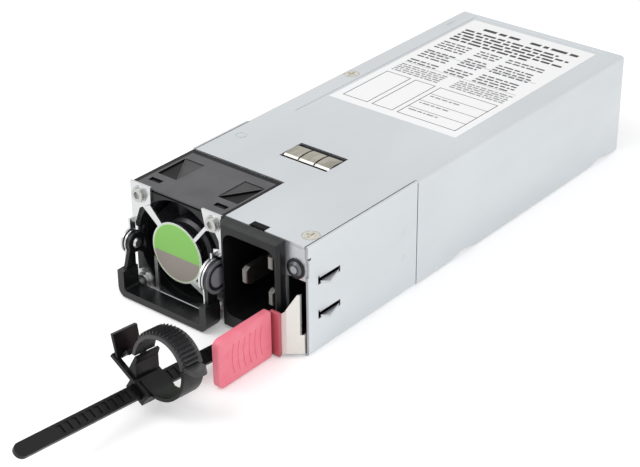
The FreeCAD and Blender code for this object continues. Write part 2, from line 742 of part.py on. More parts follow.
def make_fan_frame():
    """Square frame with a round bore, reliefs for the handle's hubs and the motor's spokes."""
    body = new_body("fan_frame")
    spoke_front = fan_rear - mm.spoke_depth
    hub = mm.hub_radius
    flange = 4.0
    corner = 4.2
    pad(body, "XZ", fan_front, fan_rear, rectangle(fan_left, fan_low, fan_right, fan_high))
    pocket(body, "XZ", fan_front, fan_rear, circle(fan_centre, fan_height, fan_bore))
    pocket(body, "XZ", fan_front, fan_front + 3.0, circle(fan_centre, fan_height, fan_bore + 0.6))
    pocket(body, "XZ", fan_front + flange, fan_rear - flange,
           *[rectangle(x - corner, z - corner, x + corner, z + corner) for x, z in screw_places(corner + 2.0)])
    for angle in (45, 135, 225, 315):
        ends = [polar_points(fan_centre, fan_height, fan_bore + 1.0, angle + side) for side in (-4, 4)]
        roots = [polar_points(fan_centre, fan_height, hub - 2.0, angle + side) for side in (8, -8)]
        pad(body, "XZ", spoke_front, fan_rear, ends + roots)
    pad(body, "XZ", spoke_front, fan_rear, circle(fan_centre, fan_height, hub))
    pocket(body, "XZ", fan_front, fan_rear, *[circle(x, z, mm.fan_screw_shank) for x, z in screw_places()])
    pocket(body, "XZ", spoke_front, fan_rear, circle(fan_centre, fan_height, tube_radius))
    pocket(body, "XZ", fan_front, fan_front + 4.4,
           rectangle(ear_right + mm.lap_gap, pivot_z - 6.7, fan_right + 1.0, pivot_z + 6.7))
    pocket(body, "XZ", fan_front, fan_front + 2.2,
           rectangle(fan_left - 1.0, pivot_z - 4.6, fan_left + 3.4, pivot_z + 4.6))
    keep("fan_frame", body)


def make_fan_motor():
    """Stator on the frame's hub, with the tube that holds the bearings."""
    rear = fan_rear - mm.spoke_depth
    front = rear - 14.0
    stack = rod("fan_stator_stack", "y", (fan_centre, front, fan_height), mm.hub_radius - mm.cup_wall - 1.0,
                rear - front)
    hole = rod("fan_stator_hole", "y", (fan_centre, front - 1.0, fan_height), tube_radius, rear - front + 2.0)
    keep("fan_motor", cut("fan_motor", stack, hole))
    tube = rod("fan_tube_wall", "y", (fan_centre, front - 0.5, fan_height), tube_radius, fan_rear - front + 0.5)
    run = rod("fan_tube_bore", "y", (fan_centre, front - 1.5, fan_height), mm.shaft_radius + mm.running_gap,
              fan_rear - front + 2.5)
    keep("fan_bearing", cut("fan_bearing", tube, run))


def blade_section(body, radius, chord, lean, thickness):
    """Curved section of a blade on a plane at right angles to its radius."""
    front = blade_front
    rear = blade_front + mm.blade_length
    bow = chord * lean
    shape = ((-chord, front), (-chord / 2 + bow, front + mm.blade_length * 0.42), (chord, rear),
             (chord - thickness, rear), (-chord / 2 + bow - thickness, front + mm.blade_length * 0.47),
             (-chord - thickness, front + 0.4))
    return new_sketch(body, "XY", radius, [shape])


def make_fan_rotor():
    """Cup with swept blades, drawn about its own axis."""
    body = new_body("fan_rotor")
    tip = fan_bore - mm.tip_gap
    cup_rear = rotor_front + mm.cup_length
    boss_rear = rotor_front + 5.0
    inside = rotor_front + mm.cup_wall
    pad(body, "XZ", rotor_front, cup_rear, circle(0.0, 0.0, mm.hub_radius))
    round_edges(body, 1.0, lambda edge: near(middle(edge).y, rotor_front), "PartDesign::Chamfer")
    pocket(body, "XZ", inside, cup_rear, circle(0.0, 0.0, mm.hub_radius - mm.cup_wall))
    pad(body, "XZ", rotor_front + 0.6, boss_rear, circle(0.0, 0.0, mm.shaft_radius + 1.4))
    pocket(body, "XZ", inside, boss_rear, circle(0.0, 0.0, mm.shaft_radius))
    root = blade_section(body, mm.hub_radius - 0.9, 4.4, 0.25, 1.2)
    end = blade_section(body, fan_bore + 1.0, 6.6, 0.12, 0.9)
    blade = body.newObject("PartDesign::AdditiveLoft", "blade")
    blade.Profile = root
    blade.Sections = [end]
    blade.Ruled = True
    doc.recompute()
    blades = body.newObject("PartDesign::PolarPattern", "blades")
    blades.Originals = [blade]
    blades.Axis = ([item for item in body.Origin.OriginFeatures if item.Role == "Y_Axis"][0], [""])
    blades.Angle = 360
    bind(blades, "Occurrences", mm.blade_count)
    body.Tip = blades
    pocket(body, "XZ", rotor_front - 2.0, cup_rear + 6.0, circle(0.0, 0.0, tip), circle(0.0, 0.0, fan_bore + 9.0))
    keep("fan_rotor", place(body, fan_centre, 0.0, fan_height))


def make_fan_shaft():
    """Shaft pressed into the rotor's boss."""
    front = rotor_front + mm.cup_wall
    shaft = rod("fan_shaft", "y", (fan_centre, front, fan_height), mm.shaft_radius, fan_rear - front - 1.0)
    keep("fan_shaft", shaft)


def make_fan_screws():
    """Four long flanged screws with hexagonal sockets, through the guard and the fan."""
    screws = []
    flange = 0.4
    head_front = guard_front - 1.4
    for index, (x, z) in enumerate(screw_places()):
        washer = rod("fan_screw_flange_%d" % index, "y", (x, guard_front - flange, z), mm.fan_screw_head + 0.6, flange)
        head = rod("fan_screw_head_%d" % index, "y", (x, head_front, z), mm.fan_screw_head, 1.4)
        shank = rod("fan_screw_shank_%d" % index, "y", (x, guard_front - 0.2, z), mm.fan_screw_shank,
                    mm.fan_screw_length)
        socket = prism("fan_screw_socket_%d" % index, "y", (x, head_front - 0.2, z), 1.4, 1.0)
        blank = join("fan_screw_blank_%d" % index, washer, head, shank)
        screws.append(cut("fan_screw_%d" % index, blank, socket))
    keep("fan_screws", group("fan_screws", *screws))


# outlines of the guard's plates, from the fan's axis, for a frame 39.2 wide and 36.6 high
GUARD_PLATES = (
    ((-20.1, 20.1), (-11.1, 20.1), (-11.3, 14.1), (-15.4, 11.8), (-16.4, 11.2), (-18.8, 4.9), (-20.1, 4.9)),
    ((-11.7, 13.7), (-5.6, 7.3), (-7.0, 5.8), (-14.9, 12.1)),
    ((11.2, 20.1), (19.5, 20.1), (19.5, 5.3), (18.4, 5.3), (18.2, 10.8), (16.4, 13.9), (12.8, 12.7)),
    ((13.2, 13.2), (12.3, 14.0), (6.0, 6.3), (6.9, 5.5)),
    ((15.7, 5.2), (19.5, 5.2), (19.5, 8.2), (15.7, 7.2)),
    ((-12.3, -18.3), (-19.6, -18.3), (-19.6, -13.0), (-17.8, -12.2), (-16.8, -11.4), (-14.3, -10.9),
     (-12.0, -13.6)),
    ((-11.1, -5.0), (-8.0, -2.0), (-8.0, -5.0), (-9.7, -5.0), (-9.7, -18.3), (-13.0, -18.3), (-13.0, -17.0), (-11.1, -17.0)),
    ((3.2, -8.8), (5.6, -7.0), (10.6, -9.2), (12.4, -12.0), (10.0, -12.0)),
    ((9.6, -9.6), (13.0, -11.4), (19.2, -11.4), (19.2, -18.3), (12.6, -18.3)),
)


def from_fan(points):
    """Points of the guard's plates, stretched to the fan frame."""
    across = fan_width / 39.2
    up = (fan_high - fan_low) / 36.6
    return [(fan_centre + x * across, fan_height + z * up) for x, z in points]


def make_fan_guard():
    """Stamped guard: centre disc, arms to the screw tabs and two ears that carry the handle."""
    body = new_body("fan_guard")
    rear = guard_front + mm.guard_gauge
    for plate in GUARD_PLATES:
        pad(body, "XZ", guard_front, rear, from_fan(plate))
    pad(body, "XZ", guard_front, rear, circle(disc_x, disc_z, guard_disc))
    for face, radius in ((ear_left, mm.hub_left + 0.5), (ear_right, mm.hub_right + 0.2)):
        back = face - mm.guard_gauge
        pad(body, "YZ", back, face, circle(pivot_y, pivot_z, radius))
        pad(body, "YZ", back, face, rectangle(guard_front - 1.6, pivot_z + 1.0, rear, pivot_z + 7.8))
        pocket(body, "YZ", back, face, rectangle(rear, pivot_z - 8.0, guard_front + 9.0, pivot_z + 6.3))
        pocket(body, "YZ", back, face, circle(pivot_y, pivot_z, mm.handle_rivet))
    pocket(body, "XZ", guard_front, rear, *[circle(x, z, mm.fan_screw_shank) for x, z in screw_places()])
    keep("fan_guard", body)


def make_guard_label():
    """Round label on the guard's disc."""
    label = rod("guard_label", "y", (disc_x, guard_front - mm.label_thickness, disc_z), guard_disc - 0.4,
                mm.label_thickness)
    keep("guard_label", label)


def make_fan_cover():
    """Dark plastic cover over the fan: a slot and a recess in two steps near each side."""
    body = new_body("fan_cover")
    top = mm.body_height - mm.cover_drop
    pad(body, "XY", fan_cover_low, top, rectangle(-half, fan_front, cover_right, cover_rear))
    round_edges(body, 0.6, lambda edge: runs_along(edge, "x") and near(middle(edge).y, fan_front)
                and near(middle(edge).z, top))
    near_side, far_side = 2.6, 11.2
    front, rear = 8.6, 22.0
    deep = []
    shallow = []
    for edge, inwards in ((-half, 1), (cover_right, -1)):
        outer = edge + inwards * near_side
        inner = edge + inwards * far_side
        deep.append(((outer, front), (inner, front), (outer, rear)))
        deep.append(rectangle(outer + inwards * 0.8, 3.4, outer + inwards * 5.8, 5.6))
        shallow.append(((inner, front + 0.5), (inner, rear), (outer + inwards * 0.3, rear)))
    pocket(body, "XY", top - 0.45, top, *deep)
    pocket(body, "XY", top - 0.2, top, *shallow)
    keep("fan_cover", body)


# ---- mains inlet ---------------------------------------------------------------------------------------

def make_inlet_housing():
    """Bezel and well of the inlet, with a hole in the lower rim for the strap's rivet."""
    body = new_body("inlet_moulding")
    pad(body, "XZ", -mm.bezel_depth, 0.0, rectangle(inlet_left, mm.inlet_low, inlet_right, inlet_high))
    round_edges(body, mm.bezel_bevel, lambda edge: near(middle(edge).y, -mm.bezel_depth), "PartDesign::Chamfer")
    pad(body, "XZ", 0.0, inlet_rear, rectangle(inlet_body_left, inlet_body_low, inlet_body_right, inlet_body_high))
    corner = mm.well_rounding
    left, right = well_left + corner, well_right - corner
    low, high = well_low + corner, well_high - corner
    outline = []
    for x, z, first in ((right, high, 0), (left, high, 90), (left, low, 180), (right, low, 270)):
        outline += bend(x, z, corner, first, first + 90, steps=4)
    pocket(body, "XZ", -mm.bezel_depth, mm.well_depth, outline)
    doc.recompute()
    hole = strap_frame(rod("strap_hole", "y", (0.0, -1.0, 0.0), mm.strap_rivet + mm.running_gap, 4.3))
    slots = blade_slots("inlet_blade_slot", mm.well_depth - 1.0, inlet_rear + 1.0)
    keep("inlet_housing", cut("inlet_housing", body, hole, *slots))


def blade_slots(name, front, rear):
    """Blocks the size of the three blades, to cut their slots."""
    return [box("%s_%d" % (name, index), (x - mm.blade_thickness / 2, front, z - mm.blade_width / 2),
                (x + mm.blade_thickness / 2, rear, z + mm.blade_width / 2))
            for index, (x, z, tip) in enumerate(blade_places)]


def make_inlet_pins():
    """Line, neutral and earth blades with bevelled tips and solder tails."""
    blades = []
    bevel = mm.blade_bevel
    rear = inlet_rear + 5.0
    for index, (x, z, tip) in enumerate(blade_places):
        body = new_body("inlet_blade_%d" % index)
        low = z - mm.blade_width / 2
        high = z + mm.blade_width / 2
        shape = ((tip, low + bevel), (tip, high - bevel), (tip + 1.8, high), (rear, high), (rear, low),
                 (tip + 1.8, low))
        pad(body, "YZ", x - mm.blade_thickness / 2, x + mm.blade_thickness / 2, shape)
        round_edges(body, 0.3, lambda edge: runs_along(edge, "z") and middle(edge).y < number(tip) + 0.1,
                    "PartDesign::Chamfer")
        blades.append(body)
    keep("inlet_pins", group("inlet_pins", *blades))


def make_inlet_clip():
    """Snap tab of the inlet, in the notch of the cover's front edge."""
    side_gap = 0.3
    clip = box("inlet_clip", (clip_left + side_gap, mm.gauge + mm.lap_gap, inlet_body_high),
               (clip_right - side_gap, mm.clip_depth - side_gap, mm.body_height - mm.lap_gap))
    keep("inlet_clip", clip)


def make_lamp():
    """Status lamp: collar in the panel and a domed lens."""
    rear = 3.0
    dome = -1.3
    collar = rod("led_collar_flange", "y", (lamp_x, -0.5, lamp_z), mm.lamp_collar + 0.3, 0.5)
    barrel = rod("led_collar_barrel", "y", (lamp_x, 0.0, lamp_z), mm.lamp_collar, rear)
    hole = rod("led_collar_hole", "y", (lamp_x, -1.0, lamp_z), mm.lamp_lens, rear + 2.0)
    keep("led_bezel", cut("led_bezel", join("led_collar_blank", collar, barrel), hole))
    body = new_body("led_lens")
    pad(body, "XZ", dome, rear + 2.0, circle(lamp_x, lamp_z, mm.lamp_lens))
    round_edges(body, 0.8, lambda edge: near(middle(edge).y, dome), "PartDesign::Chamfer")
    keep("led_lens", body)
    board = box("led_board", (lamp_x - 4.0, rear + 2.0, lamp_z - 5.0),
                (lamp_x + 3.0, rear + 2.0 + mm.board_gauge, lamp_z + 3.4))
    keep("led_board", board)


# ---- latch ---------------------------------------------------------------------------------------------

def make_latch_root():
    """Rear end of the latch spring, riveted to the side wall."""
    body = new_body("latch_root")
    right = half - mm.gauge
    left = right - mm.leaf_gauge
    rear = latch_rivet_y + 4.4
    pad(body, "YZ", left, right, rectangle(latch_bend + 0.3, 3.0, rear, leaf_top + 3.0))
    pocket(body, "YZ", left, right, *[circle(latch_rivet_y, z, mm.rivet_shank) for z in latch_rivet_z])
    keep("latch_root", body)


def make_latch_rivets():
    """Two flush rivets through the side wall and the latch spring."""
    rivets = []
    inside = half - mm.gauge - mm.leaf_gauge
    head = 0.8
    for index, z in enumerate(latch_rivet_z):
        shank = rod("latch_rivet_shank_%d" % index, "x", (inside, latch_rivet_y, z), mm.rivet_shank,
                    mm.gauge + mm.leaf_gauge - 0.05)
        cap = rod("latch_rivet_head_%d" % index, "x", (inside - head, latch_rivet_y, z), mm.rivet_shank + 0.9, head)
        rivets.append(join("latch_rivet_%d" % index, shank, cap))
    keep("latch_rivets", group("latch_rivets", *rivets))


def front_plate():
    """Plan of the latch's front plate, outer face then inner face."""
    reach = -mm.plate_reach
    bend_x = leaf_right - 4.1
    return ((bend_x, reach + 1.2), (plate_left, reach), (plate_left, reach + mm.leaf_gauge),
            (bend_x - 0.2, reach + 1.2 + mm.leaf_gauge))


def make_latch_spring():
    """Sprung leaf with two barbs through the side wall and a plate bent across the front."""
    body = new_body("latch_spring")
    right, left = leaf_right, leaf_left
    front = -mm.plate_reach - 0.1
    leaf = ((right, latch_bend), (right, -0.7)) + front_plate() + ((left, -0.4), (left, latch_bend))
    pad(body, "XY", mm.leaf_low, leaf_top, leaf)
    slope = ((right + 2.0, leaf_top + 1.0), (right + 2.0, leaf_top - 2.5), (right - 1.6, leaf_top - 2.5),
             (right - 4.6, leaf_top - 8.5), (plate_left - 1.0, leaf_top - 11.4), (plate_left - 1.0, leaf_top + 1.0))
    pocket(body, "XZ", front, -0.3, slope)
    corner_low = 8.0
    pocket(body, "XY", corner_low, leaf_top, rectangle(right - 1.0, -2.2, right + 1.0, 3.0))
    notch = ((right - 1.2, corner_low + 1.0), (right + 1.0, corner_low + 1.0), (right + 1.0, corner_low - 1.2))
    pocket(body, "XZ", -2.2, -0.3, notch)
    front_root = mm.barb_front
    rear_root = mm.barb_front + mm.barb_length
    for z in barb_places:
        barb = ((right - 0.3, front_root + 0.2), (half, front_root), (half + mm.barb_reach, front_root + 1.7),
                (half, rear_root), (right - 0.3, rear_root + 0.3))
        pad(body, "XY", z - mm.barb_gauge / 2, z + mm.barb_gauge / 2, barb)
    window_low = barb_places[0] + mm.barb_gauge / 2
    pocket(body, "YZ", left, right, rectangle(front_root + 0.4, window_low, rear_root - 0.2, window_low + 1.1))
    keep("latch_spring", body)


def make_latch_grip():
    """Coloured plastic paddle moulded on the end of the latch's front plate."""
    body = new_body("latch_grip")
    left = paddle_right - mm.paddle_thickness
    front = -mm.paddle_front
    rear = mm.paddle_length - mm.paddle_front
    rounding = 2.6
    low = mm.paddle_low
    high = mm.paddle_low + mm.paddle_height
    side = [(rear, low), (rear, high)]
    side += bend(front + rounding, high - rounding, rounding, 90, 180)
    side += bend(front + rounding, low + rounding, rounding, 180, 270)
    pad(body, "YZ", left, paddle_right, side)
    outer = -mm.plate_reach - 0.65
    inner = -mm.plate_reach + mm.leaf_gauge
    neck = ((left, rear - 0.5), (paddle_right, rear - 0.5), (paddle_right, outer - 0.3), (plate_left + 1.6, outer),
            (plate_left + 1.6, inner), (plate_left - 2.2, inner), (plate_left - 2.2, outer))
    pad(body, "XY", low, high - 1.0, neck)
    pitch = 2.4
    width = 0.7
    grooves = [rectangle(paddle_right - 0.3, front + 3.0 + index * pitch, paddle_right,
                         front + 3.0 + width + index * pitch) for index in range(8)]
    pocket(body, "XY", low + 1.5, high - 1.5, *grooves)
    pocket(body, "XY", mm.leaf_low, leaf_top, front_plate())
    keep("latch_grip", body)


# ---- handle --------------------------------------------------------------------------------------------

def hub_arm(name, left, right, radius, front, rear, low):
    """A flat arm in a side plane: a disc on the pivot and a neck down into the grip."""
    body = new_body(name)
    pad(body, "YZ", left, right, circle(pivot_y, pivot_z, radius))
    neck = ((front, low), (rear, low), (rear, pivot_z - radius * 0.7), (pivot_y, pivot_z),
            (pivot_y - radius * 0.9, pivot_z - radius * 0.4))
    pad(body, "YZ", left, right, neck)
    return body


def make_handle_arms():
    """Two steel arms from the pivots down into the grip."""
    arms = []
    for name, start, radius in (("left", arm_left, mm.hub_left), ("right", arm_right, mm.hub_right)):
        end = start + mm.arm_gauge
        arm = hub_arm("handle_arm_" + name, start, end, radius, neck_front, neck_rear, slot_low)
        pocket(arm, "YZ", start, end, circle(pivot_y, pivot_z, mm.handle_rivet + mm.running_gap))
        arms.append(arm)
    keep("handle_arms", group("handle_arms", *arms))


def make_handle_covers():
    """Plastic covers on the arms: the left one open round its rivet, the right one a blind cap with a ring."""
    start = arm_left + mm.arm_gauge
    left = hub_arm("handle_cover_left", start, face_left, mm.hub_left - 0.4, neck_front - 0.4, neck_rear + 0.8,
                   grip_top)
    pocket(left, "YZ", start, face_left, circle(pivot_y, pivot_z, mm.handle_rivet + mm.running_gap))
    start = arm_right + mm.arm_gauge
    right = hub_arm("handle_cover_right", start, face_right, mm.hub_right - 0.3, neck_front - 0.4, neck_rear + 0.8,
                    grip_top)
    pocket(right, "YZ", start, start + 1.05, circle(pivot_y, pivot_z, mm.handle_rivet + 1.2))
    pocket(right, "YZ", face_right - 0.3, face_right, circle(pivot_y, pivot_z, mm.hub_right - 1.4),
           circle(pivot_y, pivot_z, mm.hub_right - 2.5))
    keep("handle_covers", group("handle_covers", left, right))


def make_handle_grip():
    """U-shaped grip with slots for the arms."""
    body = new_body("handle_grip")
    left, right = fan_left, fan_right
    low = mm.grip_low
    inner = mm.grip_wall
    rounding = 3.4
    outline = [(right, grip_top)]
    outline += bend(right - rounding, low + rounding, rounding, 0, -90, steps=4)
    outline += bend(left + rounding, low + rounding, rounding, -90, -180, steps=4)
    outline += [(left, grip_top), (left + inner, grip_top), (left + inner, low + inner + 0.6),
                (left + inner + 0.6, low + inner), (right - inner - 0.6, low + inner),
                (right - inner, low + inner + 0.6), (right - inner, grip_top)]
    pad(body, "XZ", -mm.grip_front, grip_rear, outline)
    round_edges(body, 0.5, lambda edge: runs_along(edge, "x") and near(middle(edge).z, low))
    for start in (arm_left, arm_right):
        pocket(body, "XY", slot_low, grip_top,
               rectangle(start, neck_front - 0.6, start + mm.arm_gauge, neck_rear + 0.4))
    keep("handle_grip", body)


def make_handle_rivets():
    """Pivot rivets, held in the guard's ears; the right one ends inside its cap."""
    rivets = []
    back_left = ear_left - mm.guard_gauge
    back_right = ear_right - mm.guard_gauge
    for index, (start, head_at, head) in enumerate(((back_left, face_left + 0.3, 0.6),
                                                    (back_right, arm_right + mm.arm_gauge + 0.3, 0.4))):
        shank = rod("handle_rivet_shank_%d" % index, "x", (start, pivot_y, pivot_z), mm.handle_rivet, head_at - start)
        cap = cone("handle_rivet_head_%d" % index, "x", (head_at, pivot_y, pivot_z), mm.handle_rivet + 0.8,
                   mm.handle_rivet + 0.3, head)
        rivets.append(join("handle_rivet_%d" % index, shank, cap))
    keep("handle_rivets", group("handle_rivets", *rivets))


# ---- cord strap and clamp ------------------------------------------------------------------------------

def strap_turn():
    rise = FreeCAD.Rotation(AXES["x"], -number(mm.strap_rise))
    return rise.multiply(FreeCAD.Rotation(AXES["y"], number(mm.strap_roll)))


def strap_frame(item):
    """Puts a piece, drawn along the strap with its root at the origin, on the housing."""
    offset = item.Placement
    turn = strap_turn()
    root = Vector(number(strap_x), -number(mm.bezel_depth), number(strap_z))
    item.Placement = FreeCAD.Placement(root + turn.multVec(offset.Base), turn.multiply(offset.Rotation))
    for axis in AXES:
        item.setExpression("Placement.Base." + axis, None)
    return item


def make_strap():
    """Ladder strap: side rails, rungs and a plain rounded tip."""
    body = new_body("strap")
    side = mm.strap_width / 2
    thick = mm.strap_thickness / 2
    tip = -mm.strap_length
    groove = 0.35
    pad(body, "XY", -thick, thick, rectangle(-side, tip, side, -0.5))
    round_edges(body, side - 0.1, lambda edge: runs_along(edge, "z") and near(middle(edge).y, tip))
    first = -6.0
    gap = rectangle(-side + mm.strap_rail, first - mm.rung_pitch + mm.rung_width, side - mm.strap_rail, first)
    count = int((number(mm.strap_length) - 18.0) / number(mm.rung_pitch))
    for low, high in ((thick - groove, thick), (-thick, groove - thick)):
        feature = pocket(body, "XY", low, high, gap)
        repeat = body.newObject("PartDesign::LinearPattern", "rungs")
        repeat.Originals = [feature]
        repeat.Direction = (feature.Profile[0], ["V_Axis"])
        repeat.Reversed = True
        bind(repeat, "Length", mm.rung_pitch * (count - 1))
        repeat.Occurrences = count
        body.Tip = repeat
    pad(body, "XY", -0.9, 0.9, rectangle(-side, -3.0, side, -0.5))
    keep("strap", strap_frame(body))


def make_strap_rivet():
    """Snap rivet that the strap turns on."""
    shank = rod("strap_rivet", "y", (0.0, -0.5, 0.0), mm.strap_rivet, 3.4)
    keep("strap_rivet", strap_frame(shank))


def ring_band(name, first, sweep):
    """Part of the ring's band, between two angles."""
    pieces = []
    for part, radius, start, depth in (("outer", ring_outer, -ring_front, mm.ring_depth),
                                       ("bore", mm.ring_radius, -ring_front - 1.0, mm.ring_depth + 2.0)):
        item = doc.addObject("Part::Cylinder", name + "_" + part)
        bind(item, "Radius", radius)
        bind(item, "Height", depth)
        item.Angle = 360 if part == "bore" else sweep
        turn = FreeCAD.Rotation(AXES["y"], -first).multiply(FreeCAD.Rotation(AXES["x"], -90))
        turn = turn.multiply(FreeCAD.Rotation(AXES["z"], -sweep))
        item.Placement = FreeCAD.Placement(Vector(number(mm.ring_side), number(start), number(mm.ring_lift)), turn)
        pieces.append(item)
    return cut(name, *pieces)


def make_clamp_base():
    """Slide on the strap, with the window, the saddle wall and the ring's fixed lower arm."""
    front = -mm.clamp_front
    rear = front + mm.clamp_depth
    side = mm.strap_width / 2 + mm.slide_gap
    under = mm.strap_thickness / 2 + mm.slide_gap
    wall = mm.clamp_wall
    left = -mm.clamp_left
    plate = box("clamp_plate", (left, front, under), (mm.clamp_right, rear, clamp_top))
    channel_block = box("clamp_channel", (-side - wall, front, -under - wall), (side + wall, rear, under + 0.1))
    tunnel = box("clamp_tunnel", (-side, front - 1.0, -under), (side, rear + 1.0, under))
    window_left, window_right = left + 2.2, left + 7.0
    nib_left, nib_right = left + 4.0, left + 5.0
    window = box("clamp_window", (window_left, front + 1.8, under - 1.0), (window_right, rear - 3.0, clamp_top + 1.0))
    beside = [box("clamp_window_%d" % index, (low, rear - 3.5, under - 1.0), (high, rear - 1.8, clamp_top + 1.0))
              for index, (low, high) in enumerate(((window_left, nib_left), (nib_right, window_right)))]
    saddle = new_body("clamp_saddle")
    pad(saddle, "XZ", front + 0.8, rear - 0.8,
        ((left + 7.0, under), (-1.9, under), (-3.3, 3.6), (-5.4, 6.4), (-5.9, 8.5), (-6.9, 8.5), (left + 6.6, 6.0)))
    arm = ring_band("clamp_lower_arm", -106.0, 147.0)
    blank = join("clamp_base_blank", plate, channel_block, saddle, arm)
    keep("clamp_base", strap_frame(cut("clamp_base", blank, tunnel, window, *beside)))


def make_clamp_arm():
    """Toothed upper arm of the ring, drawn about the ring's axis."""
    body = new_body("clamp_arm")
    front = 0.0
    rear = mm.ring_depth
    pad(body, "XZ", front, rear, circle(0.0, 0.0, ring_outer), circle(0.0, 0.0, mm.ring_radius))
    away = [(0.0, 0.0)] + [polar_points(0.0, 0.0, 22.0, angle) for angle in (-154, -110, -60, -10, 47)]
    pocket(body, "XZ", front, rear, away)
    teeth_count = 17
    pitch = 7.4
    first = 54.0
    root = ring_outer - 0.2
    tooth = (polar_points(0.0, 0.0, root, first), polar_points(0.0, 0.0, ring_outer + mm.tooth_height, first),
             polar_points(0.0, 0.0, root, first + pitch - 0.4))
    feature = pad(body, "XZ", front + 1.0, rear - 1.0, tooth)
    doc.recompute()
    teeth = body.newObject("PartDesign::PolarPattern", "teeth")
    teeth.Originals = [feature]
    teeth.Axis = ([item for item in body.Origin.OriginFeatures if item.Role == "Y_Axis"][0], [""])
    teeth.Reversed = True
    teeth.Angle = pitch * (teeth_count - 1)
    teeth.Occurrences = teeth_count
    body.Tip = teeth
    tab = [polar_points(0.0, 0.0, ring_outer - 0.6, angle) for angle in (47.5, 54.0)]
    tab += [(ring_outer * 0.66 + 3.6, ring_outer * 0.78 + 2.6), (ring_outer * 0.66 + 5.0, ring_outer * 0.78 + 1.4)]
    pad(body, "XZ", front + 0.3, rear - 2.1, tab)
    tab_start = number(ring_outer) + 2.5
    round_edges(body, 2.2, lambda edge: edge.Curve.TypeId == "Part::GeomLine" and edge.Length < 2.5
                and abs(edge.Curve.Direction.y) < 1e-6 and middle(edge).x > 6.0
                and Vector(middle(edge).x, 0, middle(edge).z).Length > tab_start)
    body.Placement.Base = Vector(number(mm.ring_side), -number(ring_front), number(mm.ring_lift))
    keep("clamp_arm", strap_frame(body))


def make_clamp_release():
    """Wide release blade beside the window, with the pawl that catches the ring's teeth."""
    body = new_body("clamp_release")
    low = clamp_top + mm.slide_gap
    x = 1.4 - mm.clamp_left
    front = 0.3 - mm.clamp_front
    blade = ((x, low), (x + 1.1, low), (x - 4.4, low + 5.4), (x - 5.3, low + 4.7))
    pad(body, "XZ", front, front + mm.clamp_depth - 1.2, blade)
    pawl = ((x + 0.3, low), (x + 1.3, low), (x + 2.0, low + 2.6), (x + 2.9, low + 3.2), (x + 1.2, low + 3.6))
    pad(body, "XZ", front + 1.5, front + 5.7, pawl)
    keep("clamp_release", strap_frame(body))


# ---- inside --------------------------------------------------------------------------------------------

def make_main_board():
    """Main board with the card edge that reaches out through the rear face."""
    rear = mm.body_depth - 3.0
    reach = mm.body_depth + mm.tongue_reach
    side = mm.tongue_width / 2
    board = box("main_board_sheet", (-board_edge, board_front, mm.board_low), (board_edge, rear, board_top))
    tongue = box("main_board_tongue", (-side, rear - 1.0, mm.board_low), (side, reach, board_top))
    holes = [rod("main_board_hole_%d" % index, "z", (x, y, mm.board_low - 1.0), mm.board_screw,
                 mm.board_gauge + 2.0) for index, (x, y) in enumerate(board_screw_places)]
    keep("main_board", cut("main_board", join("main_board_blank", board, tongue), *holes))
    pads = []
    count = 8
    pitch = mm.tongue_width / count
    foil = 0.1
    for index in range(count):
        left = pitch * index - side + 0.6
        for face, low in enumerate((mm.board_low - foil, board_top)):
            pads.append(box("card_edge_pad_%d_%d" % (index, face), (left, mm.body_depth + 0.5, low),
                            (left + pitch - 1.2, reach - 0.6, low + foil)))
    keep("card_edge_contacts", group("card_edge_contacts", *pads))


def make_board_fixings():
    """Insulating sheet, hexagonal spacers and screws of the main board."""
    edge = inner_half - mm.gauge - 0.3
    floor_sheet = box("insulator_floor", (-edge, board_front, mm.gauge),
                      (edge, mm.body_depth - 3.0, mm.gauge + mm.sheet_gauge))
    room = mm.spacer_radius + 0.2
    holes = [box("insulator_hole_%d" % index, (x - room, y - room, 0.0), (x + room, y + room, mm.board_low))
             for index, (x, y) in enumerate(board_screw_places)]
    keep("insulator_sheet", cut("insulator_sheet", floor_sheet, *holes))
    spacers = []
    screws = []
    for index, (x, y) in enumerate(board_screw_places):
        sleeve = prism("spacer_sleeve_%d" % index, "z", (x, y, mm.gauge), mm.spacer_radius, mm.board_low - mm.gauge)
        bore = rod("spacer_bore_%d" % index, "z", (x, y, mm.gauge - 0.1), mm.board_screw, mm.board_low)
        spacers.append(cut("board_spacer_%d" % index, sleeve, bore))
        head = prism("board_screw_head_%d" % index, "z", (x, y, board_top), mm.spacer_radius, 1.6)
        shank = rod("board_screw_shank_%d" % index, "z", (x, y, mm.gauge + 0.2), mm.board_screw,
                    board_top - mm.gauge)
        screws.append(join("board_screw_%d" % index, head, shank))
    keep("board_spacers", group("board_spacers", *spacers))
    keep("board_screws", group("board_screws", *screws))


def on_board(name, x, y, width, depth, height):
    """A block that stands on the main board."""
    return box(name, (x - width / 2, y, board_top), (x + width / 2, y + depth, board_top + height))


def make_capacitors():
    """Two bulk capacitors lying in line, and a row of output capacitors."""
    cans = []
    between = 2.0
    length = (primary_rear - primary_front - between) / 2
    for index, y in enumerate((primary_front, primary_front + length + between)):
        body = new_body("bulk_capacitor_%d" % index)
        pad(body, "XZ", y, y + length, circle(can_x, board_top + can_radius, can_radius))
        round_edges(body, 1.0, lambda edge: near(middle(edge).y, y), "PartDesign::Chamfer")
        cans.append(body)
    keep("bulk_capacitors", group("bulk_capacitors", *cans))
    count = 6
    first = 7.0 - board_edge
    pitch = (board_edge - 5.0 - first) / (count - 1)
    small = [rod("output_capacitor_%d" % index, "z", (first + pitch * index, mm.body_depth - 13.0, board_top), 4.0, 20.0)
             for index in range(count)]
    keep("output_capacitors", group("output_capacitors", *small))


